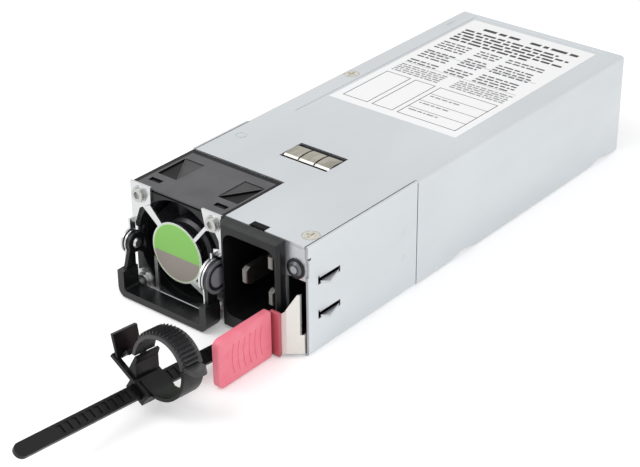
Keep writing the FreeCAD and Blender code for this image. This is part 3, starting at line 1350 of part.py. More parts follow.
def wound_core(name, left, right, y, depth, height):
    """A ferrite block with its winding round the middle leg."""
    low = board_top + 2.0
    high = low + height
    rear = y + depth
    x = (left + right) / 2
    side = (right - left) / 7
    leg_half = (right - left) / 8
    gap = 0.3
    core = box(name + "_block", (left, y, low), (right, rear, high))
    opening = box(name + "_opening", (left + side, y - 1.0, low + 4.0), (right - side, rear + 1.0, high - 4.0))
    leg = box(name + "_leg", (x - leg_half, y, low), (x + leg_half, rear, high))
    keep(name + "_core", join(name + "_core", cut(name + "_frame", core, opening), leg))
    outer = box(name + "_coil_block", (left + side + gap, y - 3.0, low + 4.0 + gap),
                (right - side - gap, rear + 3.0, high - 4.0 - gap))
    inner = box(name + "_coil_hole", (x - leg_half - gap, y - gap, low - 1.0),
                (x + leg_half + gap, rear + gap, high + 1.0))
    keep(name + "_winding", cut(name + "_winding", outer, inner))


def make_chokes():
    """Main transformer, power choke and the mains filter's ring choke."""
    beside = mm.sink_plate + mm.sink_fins + mm.sink_gap
    wound_core("transformer", secondary_sink + beside, board_edge - 8.0, mm.body_depth - 59.0, 26.0, 26.0)
    wound_core("boost_choke", primary_sink + beside, board_edge - 3.0, primary_rear - 36.0, 24.0, 25.0)
    x = board_edge - 11.0
    y = board_front + 6.0
    z = board_top + 11.0
    ring = rod("filter_choke_ring", "y", (x, y, z), 10.5, 9.0)
    hole = rod("filter_choke_hole", "y", (x, y - 1.0, z), 5.0, 11.0)
    keep("filter_choke", cut("filter_choke", ring, hole))


def finned(name, x, y, depth, height, fins):
    """Heat sink: an upright plate with fins to its right."""
    body = new_body(name)
    low = board_top
    high = board_top + height
    fin = 1.0
    back = x + mm.sink_plate
    pad(body, "XY", low, high, rectangle(x, y, back, y + depth))
    feature = pad(body, "XY", low + 4.0, high, rectangle(back - 0.5, y, back + mm.sink_fins, y + fin))
    repeat = body.newObject("PartDesign::LinearPattern", name + "_fins")
    repeat.Originals = [feature]
    repeat.Direction = (feature.Profile[0], ["V_Axis"])
    bind(repeat, "Length", depth - fin)
    repeat.Occurrences = fins
    body.Tip = repeat
    keep(name, body)


def make_heat_sinks():
    """Primary and secondary heat sinks with their transistors and rectifier."""
    finned("primary_heat_sink", primary_sink, primary_front + 2.0, primary_rear - primary_front - 10.0, 28.0, 9)
    finned("secondary_heat_sink", secondary_sink, primary_rear + 6.0, 36.0, 26.0, 7)
    parts = [box("synchronous_rectifier_%d" % index, (secondary_sink - 5.0, y, board_top + 3.0),
                 (secondary_sink, y + 14.0, board_top + 20.0))
             for index, y in enumerate((primary_rear + 7.0, primary_rear + 26.0))]
    keep("power_transistors", group("power_transistors", *parts))
    y = board_front + 20.0
    bridge = box("bridge_rectifier", (board_edge - 17.0, y, board_top + 2.0), (board_edge - 1.0, y + 4.5, board_top + 22.0))
    keep("bridge_rectifier", bridge)


def make_small_parts():
    """Filter capacitors, relay, fuse, control board, busbars, the air baffle and the inlet's board."""
    film = [on_board("filter_capacitor_%d" % index, x - board_edge, board_front + 17.0, 8.0, 12.0, 17.0)
            for index, x in enumerate((9.0, 21.0))]
    keep("filter_capacitors", group("filter_capacitors", *film))
    keep("relay", on_board("relay", 33.0 - board_edge, board_front + 16.0, 11.0, 13.0, 15.0))
    keep("fuse", rod("fuse", "y", (9.0 - board_edge, board_front + 2.0, board_top + 2.6), 2.6, 13.0))
    upright = box("control_board", (board_edge - 4.5, primary_rear - 8.0, board_top),
                  (board_edge - 4.5 + mm.board_gauge, mm.body_depth - 27.0, board_top + 27.0))
    keep("control_board", upright)
    y = mm.body_depth - 21.5
    bars = [box("busbar_%d" % index, (x - board_edge, y, board_top + 0.1), (x - board_edge + 16.0, y + 1.5, board_top + 16.0))
            for index, x in enumerate((9.0, 34.0))]
    keep("busbars", group("busbars", *bars))
    left = mm.gauge + 0.3 - inner_half
    baffle = box("air_baffle", (left, mm.seam_depth + 1.0, board_top + 1.0),
                 (left + mm.sheet_gauge, primary_rear, under_roof - 1.0))
    keep("air_baffle", baffle)
    front = inlet_rear + 1.0
    low = well_middle - (mm.blade_pitch + mm.blade_width) / 2 - 1.3
    blank = box("inlet_board_blank", (fan_right + 1.0, front, low),
                (inlet_body_right, front + mm.board_gauge, inlet_body_high - 0.25))
    keep("inlet_board", cut("inlet_board", blank, *blade_slots("inlet_board_slot", front - 1.0, front + 3.0)))


MAKERS = (
    make_chassis, make_top_cover, make_front_panel, make_rear_panel, make_cover_screws, make_ground_spring,
    make_rating_label, make_fan_frame, make_fan_motor, make_fan_rotor, make_fan_shaft, make_fan_screws,
    make_fan_guard, make_guard_label, make_fan_cover, make_inlet_housing, make_inlet_pins, make_inlet_clip,
    make_lamp, make_latch_root, make_latch_rivets, make_latch_spring, make_latch_grip, make_handle_arms,
    make_handle_covers, make_handle_grip, make_handle_rivets, make_strap, make_strap_rivet, make_clamp_base,
    make_clamp_arm, make_clamp_release, make_main_board, make_board_fixings, make_capacitors, make_chokes,
    make_heat_sinks, make_small_parts,
)


def check_sound():
    """Stops when any object failed to compute or any sub-part's shape is not sound."""
    for item in doc.Objects:
        state = set(item.State) & {"Invalid", "Error"}
        if state:
            raise RuntimeError("%s (%s) is %s" % (item.Name, item.Label, ", ".join(sorted(state))))
    for item in subparts:
        if item.Shape.isNull() or not item.Shape.isValid() or not item.Shape.Solids:
            raise RuntimeError(item.Label + " has no sound shape")


def write_parts():
    os.makedirs("parts", exist_ok=True)
    for name in os.listdir("parts"):
        if name.endswith(".step"):
            os.remove(os.path.join("parts", name))
    for item in subparts:
        item.Shape.exportStep(os.path.join("parts", item.Label + ".step"))


for maker in MAKERS:
    maker()
doc.recompute()
check_sound()
write_parts()
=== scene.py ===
import math

import bpy
from bpy.props import FloatProperty, IntProperty, PointerProperty, StringProperty
from mathutils import Matrix, Vector


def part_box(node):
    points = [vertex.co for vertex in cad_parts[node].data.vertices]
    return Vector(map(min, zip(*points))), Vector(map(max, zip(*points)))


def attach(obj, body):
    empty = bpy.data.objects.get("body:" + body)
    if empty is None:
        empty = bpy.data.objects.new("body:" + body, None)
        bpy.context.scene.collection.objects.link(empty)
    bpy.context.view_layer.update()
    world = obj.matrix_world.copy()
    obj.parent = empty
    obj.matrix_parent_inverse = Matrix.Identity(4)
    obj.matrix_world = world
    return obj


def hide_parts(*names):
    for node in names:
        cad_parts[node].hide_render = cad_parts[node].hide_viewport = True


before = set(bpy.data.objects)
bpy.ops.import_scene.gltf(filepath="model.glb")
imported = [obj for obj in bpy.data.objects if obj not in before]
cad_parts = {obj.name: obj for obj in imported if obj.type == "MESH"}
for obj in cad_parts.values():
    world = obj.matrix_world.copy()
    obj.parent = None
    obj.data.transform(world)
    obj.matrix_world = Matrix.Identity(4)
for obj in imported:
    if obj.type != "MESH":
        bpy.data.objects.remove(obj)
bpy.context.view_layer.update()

bl_info = {
    "name": "Hot Swap Server Power Supply",
    "version": (1, 0, 0),
    "blender": (4, 5, 0),
    "location": "View3D > Sidebar > Power Supply",
    "description": "Finishes, printed label, latch paddle and stage for a slim server power supply",
    "category": "Object",
}

MM = 0.001

CAMERA_PLACE = (0.324073, -0.341917, 0.293254)
CAMERA_AZIMUTH, CAMERA_ELEVATION, CAMERA_ROLL = 39.56, 29.165, -0.498      # degrees
CAMERA_LENS, CAMERA_SENSOR = 96.29, 36.0        # mm
LAMPS = (       # name, place, width in metres, power in watts
    ("key_lamp", (-0.35, -0.55, 0.75), 0.7, 4.0),
    ("side_lamp", (0.85, -0.1, 0.5), 0.6, 2.0))
LAMP_AIM = (0.0, 0.05, 0.02)
WORLD_LIGHT, WORLD_SEEN = 0.75, 1.0     # strength as light, and as the camera and mirrors see it
FLOOR_SIZE, FLOOR_DROP = 12.0, 0.0002   # m
FLOOR_GLOW = 0.24       # added where the camera and mirrors see the floor

COLOUR_BAND = (0.35, 0.65)      # part of the noise over which a colour changes
GLOSS_BAND = (0.3, 0.7)         # part of the noise over which the roughness changes


# ---- sizes and colours ---------------------------------------------------------------------------------

class PowerSupplySizes(bpy.types.PropertyGroup):
    """Sizes of the pieces that are added to the solids."""

    ink_height: FloatProperty(
        name="Ink Height", description="How far the printing stands on the label",
        default=0.00002, min=0.0, unit="LENGTH", subtype="DISTANCE")
    line_pitch: FloatProperty(
        name="Line Pitch", description="Distance between printed lines",
        default=0.0026, min=0.001, unit="LENGTH", subtype="DISTANCE")
    groove_width: FloatProperty(
        name="Groove Width", description="Width of the paddle's curved grooves",
        default=0.0005, min=0.0001, unit="LENGTH", subtype="DISTANCE")
    groove_count: IntProperty(
        name="Grooves", description="Curved grooves on the paddle", default=6, min=1, max=12)


class PowerSupplyColours(bpy.types.PropertyGroup):
    """Colours of the finishes, as sRGB hex values."""

    sheet: StringProperty(name="Sheet", description="Zinc-coated sheet", default="#D5D9DC")
    sheet_dull: StringProperty(
        name="Dull Sheet", description="Duller patches of the sheet", default="#CFD3D6")
    leaf: StringProperty(name="Leaf", description="Nickel-plated spring", default="#DAD9D4")
    guard: StringProperty(name="Guard", description="Bright stamped steel", default="#CFD0D1")
    black: StringProperty(name="Black", description="Black mouldings", default="#0F1012")
    cover: StringProperty(name="Fan Cover", description="Dark grey plastic over the fan", default="#3A3A3D")
    grip: StringProperty(name="Grip", description="Charcoal handle", default="#121315")
    paddle: StringProperty(name="Paddle", description="Pink latch paddle", default="#EC7789")
    green: StringProperty(name="Green", description="Upper part of the round label", default="#80BF58")
    brown: StringProperty(name="Brown", description="Lower part of the round label", default="#8F8780")


def linear(code):
    """Turns an sRGB hex colour to linear RGBA."""
    channels = [int(code[index:index + 2], 16) / 255 for index in (1, 3, 5)]
    return [c / 12.92 if c <= 0.04045 else ((c + 0.055) / 1.055) ** 2.4 for c in channels] + [1.0]


# ---- materials -----------------------------------------------------------------------------------------

def add_node(tree, kind, inputs=None, **settings):
    """Adds a node with its settings, values and links."""
    node = tree.nodes.new(kind)
    for name, value in settings.items():
        setattr(node, name, value)
    for socket, value in (inputs or {}).items():
        if isinstance(value, bpy.types.NodeSocket):
            tree.links.new(value, node.inputs[socket])
        else:
            node.inputs[socket].default_value = value
    return node


def start_material(name, colour, metallic=0.0, roughness=0.5, **values):
    """A material with its shader set to one finish."""
    material = bpy.data.materials.new(name)
    material.use_nodes = True
    tree = material.node_tree
    shader = tree.nodes["Principled BSDF"]
    shader.inputs["Base Color"].default_value = linear(colour)
    shader.inputs["Metallic"].default_value = metallic
    shader.inputs["Roughness"].default_value = roughness
    for socket, value in values.items():
        shader.inputs[socket.replace("_", " ")].default_value = value
    material.diffuse_color = linear(colour)
    return material, tree, shader


def pattern(tree, size_mm, stretch=(1.0, 1.0, 1.0), detail=3.0):
    """Noise on object coordinates whose lumps are about one size across."""
    place = add_node(tree, "ShaderNodeTexCoord")
    turn = add_node(tree, "ShaderNodeMapping", {"Vector": place.outputs["Object"], "Scale": stretch})
    noise = add_node(tree, "ShaderNodeTexNoise", {
        "Vector": turn.outputs["Vector"], "Scale": 1.0 / (size_mm * MM), "Detail": detail})
    return noise.outputs["Fac"]


def vary_colour(tree, shader, first, second, size_mm, stretch=(1.0, 1.0, 1.0)):
    """Drifts the colour between two close tones."""
    ramp = add_node(tree, "ShaderNodeValToRGB", {"Fac": pattern(tree, size_mm, stretch)})
    for stop, position, code in zip(ramp.color_ramp.elements, COLOUR_BAND, (first, second)):
        stop.position = position
        stop.color = linear(code)
    tree.links.new(ramp.outputs["Color"], shader.inputs["Base Color"])


def vary_gloss(tree, shader, low, high, size_mm, stretch=(1.0, 1.0, 1.0)):
    """Drifts the roughness between two values."""
    spread = add_node(tree, "ShaderNodeMapRange", {
        "Value": pattern(tree, size_mm, stretch), "From Min": GLOSS_BAND[0], "From Max": GLOSS_BAND[1],
        "To Min": low, "To Max": high})
    tree.links.new(spread.outputs["Result"], shader.inputs["Roughness"])


def add_grain(tree, shader, size_mm, depth_mm, stretch=(1.0, 1.0, 1.0)):
    """Fine relief of a moulded or rolled surface."""
    bump = add_node(tree, "ShaderNodeBump", {
        "Height": pattern(tree, size_mm, stretch, detail=2.0), "Strength": 1.0, "Distance": depth_mm * MM})
    tree.links.new(bump.outputs["Normal"], shader.inputs["Normal"])


def calculate(tree, first, second, operation):
    """One step of arithmetic. On masks, MULTIPLY means both and MAXIMUM means either."""
    return add_node(tree, "ShaderNodeMath", {0: first, 1: second}, operation=operation).outputs["Value"]


def between(tree, axis, low_mm=None, high_mm=None):
    """1 where an object coordinate lies between two places, else 0."""
    place = add_node(tree, "ShaderNodeTexCoord")
    value = add_node(tree, "ShaderNodeSeparateXYZ", {"Vector": place.outputs["Object"]}).outputs[axis]
    found = []
    if low_mm is not None:
        found.append(calculate(tree, value, low_mm * MM, "GREATER_THAN"))
    if high_mm is not None:
        found.append(calculate(tree, value, high_mm * MM, "LESS_THAN"))
    return found[0] if len(found) == 1 else calculate(tree, found[0], found[1], "MULTIPLY")


def reach_from(tree, centre, axes):
    """Distance from a line through a place, measured along the two axes that cross it."""
    place = add_node(tree, "ShaderNodeTexCoord")
    moved = add_node(tree, "ShaderNodeMapping", {
        "Vector": place.outputs["Object"], "Location": [-value for value in centre]})
    parts = add_node(tree, "ShaderNodeSeparateXYZ", {"Vector": moved.outputs["Vector"]})
    flat = add_node(tree, "ShaderNodeCombineXYZ", {axis: parts.outputs[axis] for axis in axes})
    length = add_node(tree, "ShaderNodeVectorMath", {0: flat.outputs["Vector"]}, operation="LENGTH")
    return length.outputs["Value"]


def in_mm(box):
    """A box's two corners in millimetres."""
    return [[value / MM for value in corner] for corner in box]


def centre_of(box):
    """The middle of a box."""
    return [(a + b) / 2 for a, b in zip(*box)]


def paint(tree, shader, mask, code):
    """Lays a colour over what the shader has, where the mask is 1."""
    socket = shader.inputs["Base Color"]
    under = socket.links[0].from_socket if socket.links else tuple(socket.default_value)
    mix = add_node(tree, "ShaderNodeMix", data_type="RGBA")
    tree.links.new(mask, mix.inputs["Factor"])
    if isinstance(under, tuple):
        mix.inputs["A"].default_value = under
    else:
        tree.links.new(under, mix.inputs["A"])
    mix.inputs["B"].default_value = linear(code)
    tree.links.new(mix.outputs["Result"], socket)


def zinc_sheet(colours):
    """Electro-galvanised steel, rolled and passivated: pale, satin, with faint lines along its length."""
    material, tree, shader = start_material("zinc_coated_sheet", colours.sheet, metallic=1.0, roughness=0.44)
    vary_colour(tree, shader, colours.sheet_dull, colours.sheet, 30.0, (1.0, 0.4, 1.0))
    vary_gloss(tree, shader, 0.42, 0.47, 5.0, (1.0, 0.3, 1.0))
    add_grain(tree, shader, 0.6, 0.002, (1.0, 0.1, 1.0))
    # the right wall's front edge is painted dull and non-metal, so that it doesn't mirror the pink paddle
    edge_depth, edge_width = 0.08, 1.2
    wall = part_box("chassis")[1][0] / MM
    edge = calculate(tree, between(tree, "Y", None, edge_depth), between(tree, "X", wall - edge_width),
                     "MULTIPLY")
    paint(tree, shader, edge, "#A9ADB0")
    tree.links.new(calculate(tree, 1.0, edge, "SUBTRACT"), shader.inputs["Metallic"])
    return material


def stamped_steel(colours):
    """Stamped and tumbled steel: brighter than the sheet, with soft edges to its highlights."""
    material, tree, shader = start_material("stamped_steel", colours.guard, metallic=1.0, roughness=0.3)
    vary_gloss(tree, shader, 0.24, 0.36, 2.5)
    add_grain(tree, shader, 0.8, 0.005)
    return material


def nickel_spring(colours):
    """Nickel-plated spring strip: slightly warm, with fine drawn lines."""
    material, tree, shader = start_material("nickel_spring_strip", colours.leaf, metallic=1.0, roughness=0.42)
    vary_gloss(tree, shader, 0.38, 0.48, 3.0, (0.2, 0.2, 1.0))
    add_grain(tree, shader, 0.4, 0.003, (0.1, 0.1, 1.0))
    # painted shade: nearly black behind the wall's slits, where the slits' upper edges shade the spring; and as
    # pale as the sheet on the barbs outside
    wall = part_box("chassis")[1][0] / MM
    inside, outside = wall - 1.9, wall + 0.05
    slits_front, slits_rear = 2.0, 20.0
    behind = calculate(tree, between(tree, "X", inside, outside), between(tree, "Y", slits_front, slits_rear),
                       "MULTIPLY")
    paint(tree, shader, behind, "#26272A")
    paint(tree, shader, between(tree, "X", outside), "#C3C6C9")
    return material


def grounding_strip():
    """Tin-plated bronze fingers: dull straw grey where they are bowed, with a painted highlight along their
    front rim.
    """
    material, tree, shader = start_material("tinned_bronze_fingers", "#A7A397", metallic=1.0, roughness=0.38)
    vary_colour(tree, shader, "#98948A", "#B4B0A4", 3.0, (1.0, 0.3, 1.0))
    vary_gloss(tree, shader, 0.3, 0.46, 1.5)
    add_grain(tree, shader, 0.5, 0.004)
    # the painted dark bands stand for the shaded gap in front of the strip and behind it, and the pale band in
    # front of the fingers is a painted highlight on their front rim
    low, high = in_mm(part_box("ground_spring"))
    middle = (low[1] + high[1]) / 2
    fingers_end, rim_end = 3.4, 4.3
    paint(tree, shader, between(tree, "Y", None, middle - fingers_end), "#F0EEE8")
    paint(tree, shader, between(tree, "Y", None, middle - rim_end), "#0C0C0D")
    paint(tree, shader, between(tree, "Y", middle + fingers_end), "#0C0C0D")
    return material


def zinc_screw():
    """Zinc-plated screw steel: grey with a slight blue cast."""
    material, tree, shader = start_material("zinc_plated_screw", "#B9BAB8", metallic=1.0, roughness=0.33)
    vary_gloss(tree, shader, 0.28, 0.42, 0.8)
    return material


def clear_zinc():
    """Clear passivated zinc: nearly white, with a hint of straw."""
    material, tree, shader = start_material("clear_passivated_zinc", "#CFCCC4", metallic=1.0, roughness=0.36)
    vary_colour(tree, shader, "#C8C5B9", "#D8D4CC", 1.5)
    return material


def moulded_black(colours):
    """Black flame-retardant ABS from a spark-eroded mould: a fine even grain that dulls the shine."""
    material, tree, shader = start_material(
        "moulded_black_abs", colours.black, roughness=0.42, Specular_IOR_Level=0.35)
    vary_gloss(tree, shader, 0.37, 0.5, 5.0)
    add_grain(tree, shader, 0.25, 0.006)
    return material


def shaded_plastic():
    """Black nylon tab down in its notch, matt, and painted darker than the other black mouldings as painted
    shade from the sheet round it.
    """
    material, tree, shader = start_material(
        "shaded_nylon_tab", "#08080A", roughness=0.6, Specular_IOR_Level=0.15)
    vary_gloss(tree, shader, 0.55, 0.7, 2.0)
    return material


def rotor_plastic():
    """Glass-filled PBT fan blades: dark, smooth, with a faint purple-grey cast."""
    material, tree, shader = start_material("fan_blade_pbt", "#26252B", roughness=0.3)
    vary_gloss(tree, shader, 0.26, 0.36, 3.0)
    return material


def cover_plastic(colours):
    """Dark polycarbonate blend: satin and pale where flat; its hollows and stepped border are painted black as
    painted shade.
    """
    material, tree, shader = start_material("moulded_pc_abs", colours.cover, roughness=0.34)
    vary_colour(tree, shader, colours.cover, "#444448", 9.0)
    vary_gloss(tree, shader, 0.3, 0.4, 6.0)
    add_grain(tree, shader, 0.3, 0.004)
    low, high = in_mm(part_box("fan_cover"))
    left_border, right_border, rear_border = low[0] + 1.7, high[0] - 1.9, high[1] - 1.9
    step_top, hollow_top = high[2] - 0.1, high[2] - 0.3
    border = calculate(tree, between(tree, "X", None, left_border), between(tree, "X", right_border), "MAXIMUM")
    border = calculate(tree, border, between(tree, "Y", rear_border), "MAXIMUM")
    hollow = between(tree, "Z", None, hollow_top)
    # painted shade: the stepped border, the step below the top face and the deepest hollows are painted dark
    # for the shade that falls in them
    paint(tree, shader, border, "#161617")
    paint(tree, shader, between(tree, "Z", None, step_top), "#1C1C1E")
    paint(tree, shader, hollow, "#050505")
    # a black metal value takes the shine off where the steps shade the plastic
    tree.links.new(calculate(tree, border, hollow, "MAXIMUM"), shader.inputs["Metallic"])
    return material


def grip_plastic(colours):
    """Charcoal nylon handle, moulded smooth with a satin surface."""
    material, tree, shader = start_material(
        "moulded_nylon_grip", colours.grip, roughness=0.34, Specular_IOR_Level=0.4)
    vary_gloss(tree, shader, 0.26, 0.36, 4.0)
    add_grain(tree, shader, 0.35, 0.005)
    return material


def hub_plastic(colours):
    """Moulded hub covers: black on the left, and on the right a grey cap with a turned ring."""
    material, tree, shader = start_material(
        "moulded_hub_cover", colours.grip, roughness=0.32, Specular_IOR_Level=0.4)
    vary_gloss(tree, shader, 0.28, 0.38, 3.0)
    cap_radius, ring_radius = 0.0057, 0.0032
    right_half, cap_sink = -10.0, 0.15
    cap_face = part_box("handle_covers")[1][0] / MM
    reach = reach_from(tree, centre_of(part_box("handle_rivets")), "YZ")
    cap = calculate(tree, reach, cap_radius, "LESS_THAN")
    cap = calculate(tree, cap, between(tree, "X", right_half), "MULTIPLY")
    paint(tree, shader, cap, "#7E8186")
    inside = calculate(tree, reach, ring_radius, "LESS_THAN")
    paint(tree, shader, calculate(tree, cap, inside, "MULTIPLY"), "#989BA0")
    sunken = between(tree, "X", right_half, cap_face - cap_sink)
    paint(tree, shader, calculate(tree, cap, sunken, "MULTIPLY"), "#2A2B2E")
    return material


def paddle_plastic(colours):
    """Pink polypropylene with a matt mould grain; the neck behind the plate is painted darker red as painted
    shade.
    """
    material, tree, shader = start_material("pink_polypropylene", colours.paddle, roughness=0.45)
    vary_colour(tree, shader, colours.paddle, "#F08495", 5.0)
    vary_gloss(tree, shader, 0.4, 0.52, 3.0)
    add_grain(tree, shader, 0.3, 0.004)
    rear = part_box("latch_grip")[1][1] / MM
    neck_front, shade_rear = rear - 2.1, rear - 1.3
    # painted shade: the neck is painted darker red, and darkest in the band next to the plate's rear edge, for
    # the shadow in the gap behind the plate
    paint(tree, shader, between(tree, "Y", neck_front), "#B85561")
    paint(tree, shader, between(tree, "Y", neck_front, shade_rear), "#7C333D")
    return material


def nylon_black():
    """Black nylon 66 of straps and clips: slightly glossy where it left a polished mould."""
    material, tree, shader = start_material(
        "nylon_66_black", "#0B0B0C", roughness=0.36, Specular_IOR_Level=0.28)
    vary_gloss(tree, shader, 0.3, 0.44, 3.0)
    add_grain(tree, shader, 0.4, 0.006)
    return material


def clamp_nylon():
    """Glass-filled nylon of the ring: shinier than the strap, and a lighter dark grey than it, which is partly
    a painted sheen for the highlights on its front face.
    """
    material, tree, shader = start_material("glass_filled_nylon", "#333335", roughness=0.32)
    vary_gloss(tree, shader, 0.24, 0.4, 2.0)
    add_grain(tree, shader, 0.4, 0.008)
    return material


def label_film():
    """White polyester label film: smooth, with a trace of waviness from the sheet under it."""
    material, tree, shader = start_material("white_label_film", "#EEEEEF", roughness=0.45)
    add_grain(tree, shader, 14.0, 0.05)
    return material


def ink(name, code):
    """Thermal transfer print: matt resin, greyer where the marks are finer than it can hold."""
    material, tree, shader = start_material(name, code, roughness=0.6)
    vary_gloss(tree, shader, 0.5, 0.7, 1.0)
    return material


def two_tone_label(colours):
    """Round printed film in two tones, with a pale rim painted as the highlight along its edge."""
    material, tree, shader = start_material("two_tone_label_film", colours.green, roughness=0.4)
    low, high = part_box("guard_label")
    centre, radius = centre_of((low, high)), (high[0] - low[0]) / 2
    division, rim = centre[2] - 0.12 * radius, 0.965 * radius
    paint(tree, shader, between(tree, "Z", None, division / MM), colours.brown)
    # painted highlight: a pale green rim for the light along the label's edge
    paint(tree, shader, calculate(tree, reach_from(tree, centre, "XZ"), rim, "GREATER_THAN"), "#C2D9B2")
    return material


def lamp_lens():
    """Smoked light pipe, off: a pale middle, a dark ring and a grey rim, painted light and shade that stand for
    its moulded steps.
    """
    material, tree, shader = start_material("smoked_light_pipe", "#9499A0", roughness=0.16)
    vary_gloss(tree, shader, 0.12, 0.22, 2.0)
    middle_radius, ring_radius = 0.00125, 0.00185
    reach = reach_from(tree, centre_of(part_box("led_lens")), "XZ")
    paint(tree, shader, calculate(tree, reach, middle_radius, "GREATER_THAN"), "#2C2D31")
    paint(tree, shader, calculate(tree, reach, ring_radius, "GREATER_THAN"), "#5C5F64")
    return material


def tinned_brass():
    """Tin-plated brass: pale and soft-edged."""
    material, tree, shader = start_material("tin_plated_brass", "#8C8B88", metallic=1.0, roughness=0.4)
    vary_gloss(tree, shader, 0.36, 0.46, 1.2)
    add_grain(tree, shader, 0.6, 0.004)
    return material


def solder_mask():
    """Green solder mask over glass cloth."""
    material, tree, shader = start_material("solder_mask", "#1E4B32", roughness=0.35)
    vary_colour(tree, shader, "#1A432C", "#245538", 6.0)
    add_grain(tree, shader, 0.6, 0.01)
    return material


def gold_plate():
    """Gold over nickel on the card edge."""
    material, tree, shader = start_material("gold_plated_contact", "#D9B65C", metallic=1.0, roughness=0.25)
    vary_gloss(tree, shader, 0.2, 0.32, 1.0)
    return material


def copper_wire():
    """Enamelled copper winding: turns laid side by side."""
    material, tree, shader = start_material("enamelled_copper", "#B5713C", metallic=1.0, roughness=0.35)
    vary_colour(tree, shader, "#A4622F", "#C07E48", 1.2, (0.2, 1.0, 0.2))
    return material


def ferrite():
    """Sintered ferrite: dark grey and slightly pitted."""
    material, tree, shader = start_material("sintered_ferrite", "#3A3A3C", roughness=0.6)
    vary_colour(tree, shader, "#343436", "#414144", 1.0)
    add_grain(tree, shader, 0.4, 0.02)
    return material


def extruded_aluminium():
    """Extruded aluminium with faint die lines."""
    material, tree, shader = start_material("extruded_aluminium", "#C4C6C9", metallic=1.0, roughness=0.4)
    vary_gloss(tree, shader, 0.34, 0.48, 0.8, (1.0, 0.1, 0.1))
    return material


def shrink_sleeve():
    """Dark blue shrink sleeve of the capacitors."""
    material, tree, shader = start_material("pvc_shrink_sleeve", "#1B2340", roughness=0.4)
    vary_gloss(tree, shader, 0.34, 0.46, 3.0)
    return material


def potted_box():
    """Yellow box of a film capacitor."""
    material, tree, shader = start_material("potted_polyester_box", "#C29A2E", roughness=0.5)
    vary_gloss(tree, shader, 0.44, 0.56, 2.0)
    return material


def insulating_film():
    """Pale insulating film."""
    material, tree, shader = start_material("insulating_film", "#C9C8C0", roughness=0.5)
    vary_gloss(tree, shader, 0.42, 0.56, 4.0)
    return material


def glazed_tube():
    """Ceramic tube of the fuse."""
    material, tree, shader = start_material("glazed_ceramic_tube", "#DAD8CE", roughness=0.3)
    vary_gloss(tree, shader, 0.26, 0.36, 1.5)
    return material


def finishes(colours):
    """Every CAD node's material."""
    return (
        (zinc_sheet(colours), ("chassis", "top_cover", "front_panel", "rear_panel", "latch_rivets")),
        (stamped_steel(colours), ("fan_guard", "handle_arms", "handle_rivets")),
        (nickel_spring(colours), ("latch_spring", "latch_root")),
        (grounding_strip(), ("ground_spring",)),
        (zinc_screw(), ("fan_screws", "board_screws", "fan_shaft")),
        (clear_zinc(), ("cover_screws",)),
        (shaded_plastic(), ("inlet_clip",)),
        (moulded_black(colours), ("inlet_housing", "led_bezel", "fan_frame", "relay", "power_transistors",
                                  "bridge_rectifier", "latch_grip")),
        (rotor_plastic(), ("fan_rotor",)),
        (cover_plastic(colours), ("fan_cover",)),
        (grip_plastic(colours), ("handle_grip",)),
        (hub_plastic(colours), ("handle_covers",)),
        (nylon_black(), ("strap", "strap_rivet", "clamp_base", "clamp_release")),
        (clamp_nylon(), ("clamp_arm",)),
        (label_film(), ("rating_label",)),
        (two_tone_label(colours), ("guard_label",)),
        (lamp_lens(), ("led_lens",)),
        (tinned_brass(), ("inlet_pins", "busbars", "board_spacers")),
        (solder_mask(), ("main_board", "led_board", "control_board", "inlet_board")),
        (gold_plate(), ("card_edge_contacts", "fan_bearing")),
        (copper_wire(), ("fan_motor", "transformer_winding", "boost_choke_winding", "filter_choke")),
        (ferrite(), ("transformer_core", "boost_choke_core")),
        (extruded_aluminium(), ("primary_heat_sink", "secondary_heat_sink")),
        (shrink_sleeve(), ("bulk_capacitors", "output_capacitors")),
        (potted_box(), ("filter_capacitors",)),
        (insulating_film(), ("insulator_sheet", "air_baffle")),
        (glazed_tube(), ("fuse",)),
    )


# ---- modelling helpers ---------------------------------------------------------------------------------

def fresh():
    """Nothing selected, object mode."""
    if bpy.context.object and bpy.context.object.mode != "OBJECT":
        bpy.ops.object.mode_set(mode="OBJECT")
    bpy.ops.object.select_all(action="DESELECT")


def pick(piece):
    """Object mode, with one piece selected and active."""
    fresh()
    piece.select_set(True)
    bpy.context.view_layer.objects.active = piece


def bake_place(piece):
    """Moves the object's place into its mesh."""
    pick(piece)
    bpy.ops.object.transform_apply(location=True, rotation=True, scale=True)


def add_block(name, low, high):
    """A block between two corners, as an object at the origin."""
    fresh()
    size = [b - a for a, b in zip(low, high)]
    bpy.ops.mesh.primitive_cube_add(size=1.0, location=centre_of((low, high)), scale=size)
    piece = bpy.context.object
    piece.name = name
    bake_place(piece)
    return piece


def join_pieces(name, pieces):
    """Joins pieces into one object."""
    fresh()
    for piece in pieces:
        piece.select_set(True)
    bpy.context.view_layer.objects.active = pieces[0]
    bpy.ops.object.join()
    piece = bpy.context.object
    piece.name = name
    piece.data.name = name
    return piece


def edit_only(piece, kind, wanted):
    """Edit mode, with the wanted edges or faces of one piece selected."""
    pick(piece)
    bpy.context.tool_settings.mesh_select_mode = (False, kind == "EDGE", kind == "FACE")
    bpy.ops.object.mode_set(mode="EDIT")
    bpy.ops.mesh.select_all(action="DESELECT")
    bpy.ops.object.mode_set(mode="OBJECT")
    for part in piece.data.edges if kind == "EDGE" else piece.data.polygons:
        part.select = wanted(part)
    bpy.ops.object.mode_set(mode="EDIT")


def end_edit():
    """Back to object mode, and to selecting by vertex."""
    bpy.ops.object.mode_set(mode="OBJECT")
    bpy.context.tool_settings.mesh_select_mode = (True, False, False)


def dress(piece, material):
    """One material all over."""
    piece.data.materials.clear()
    piece.data.materials.append(material)


# ---- operators -----------------------------------------------------------------------------------------

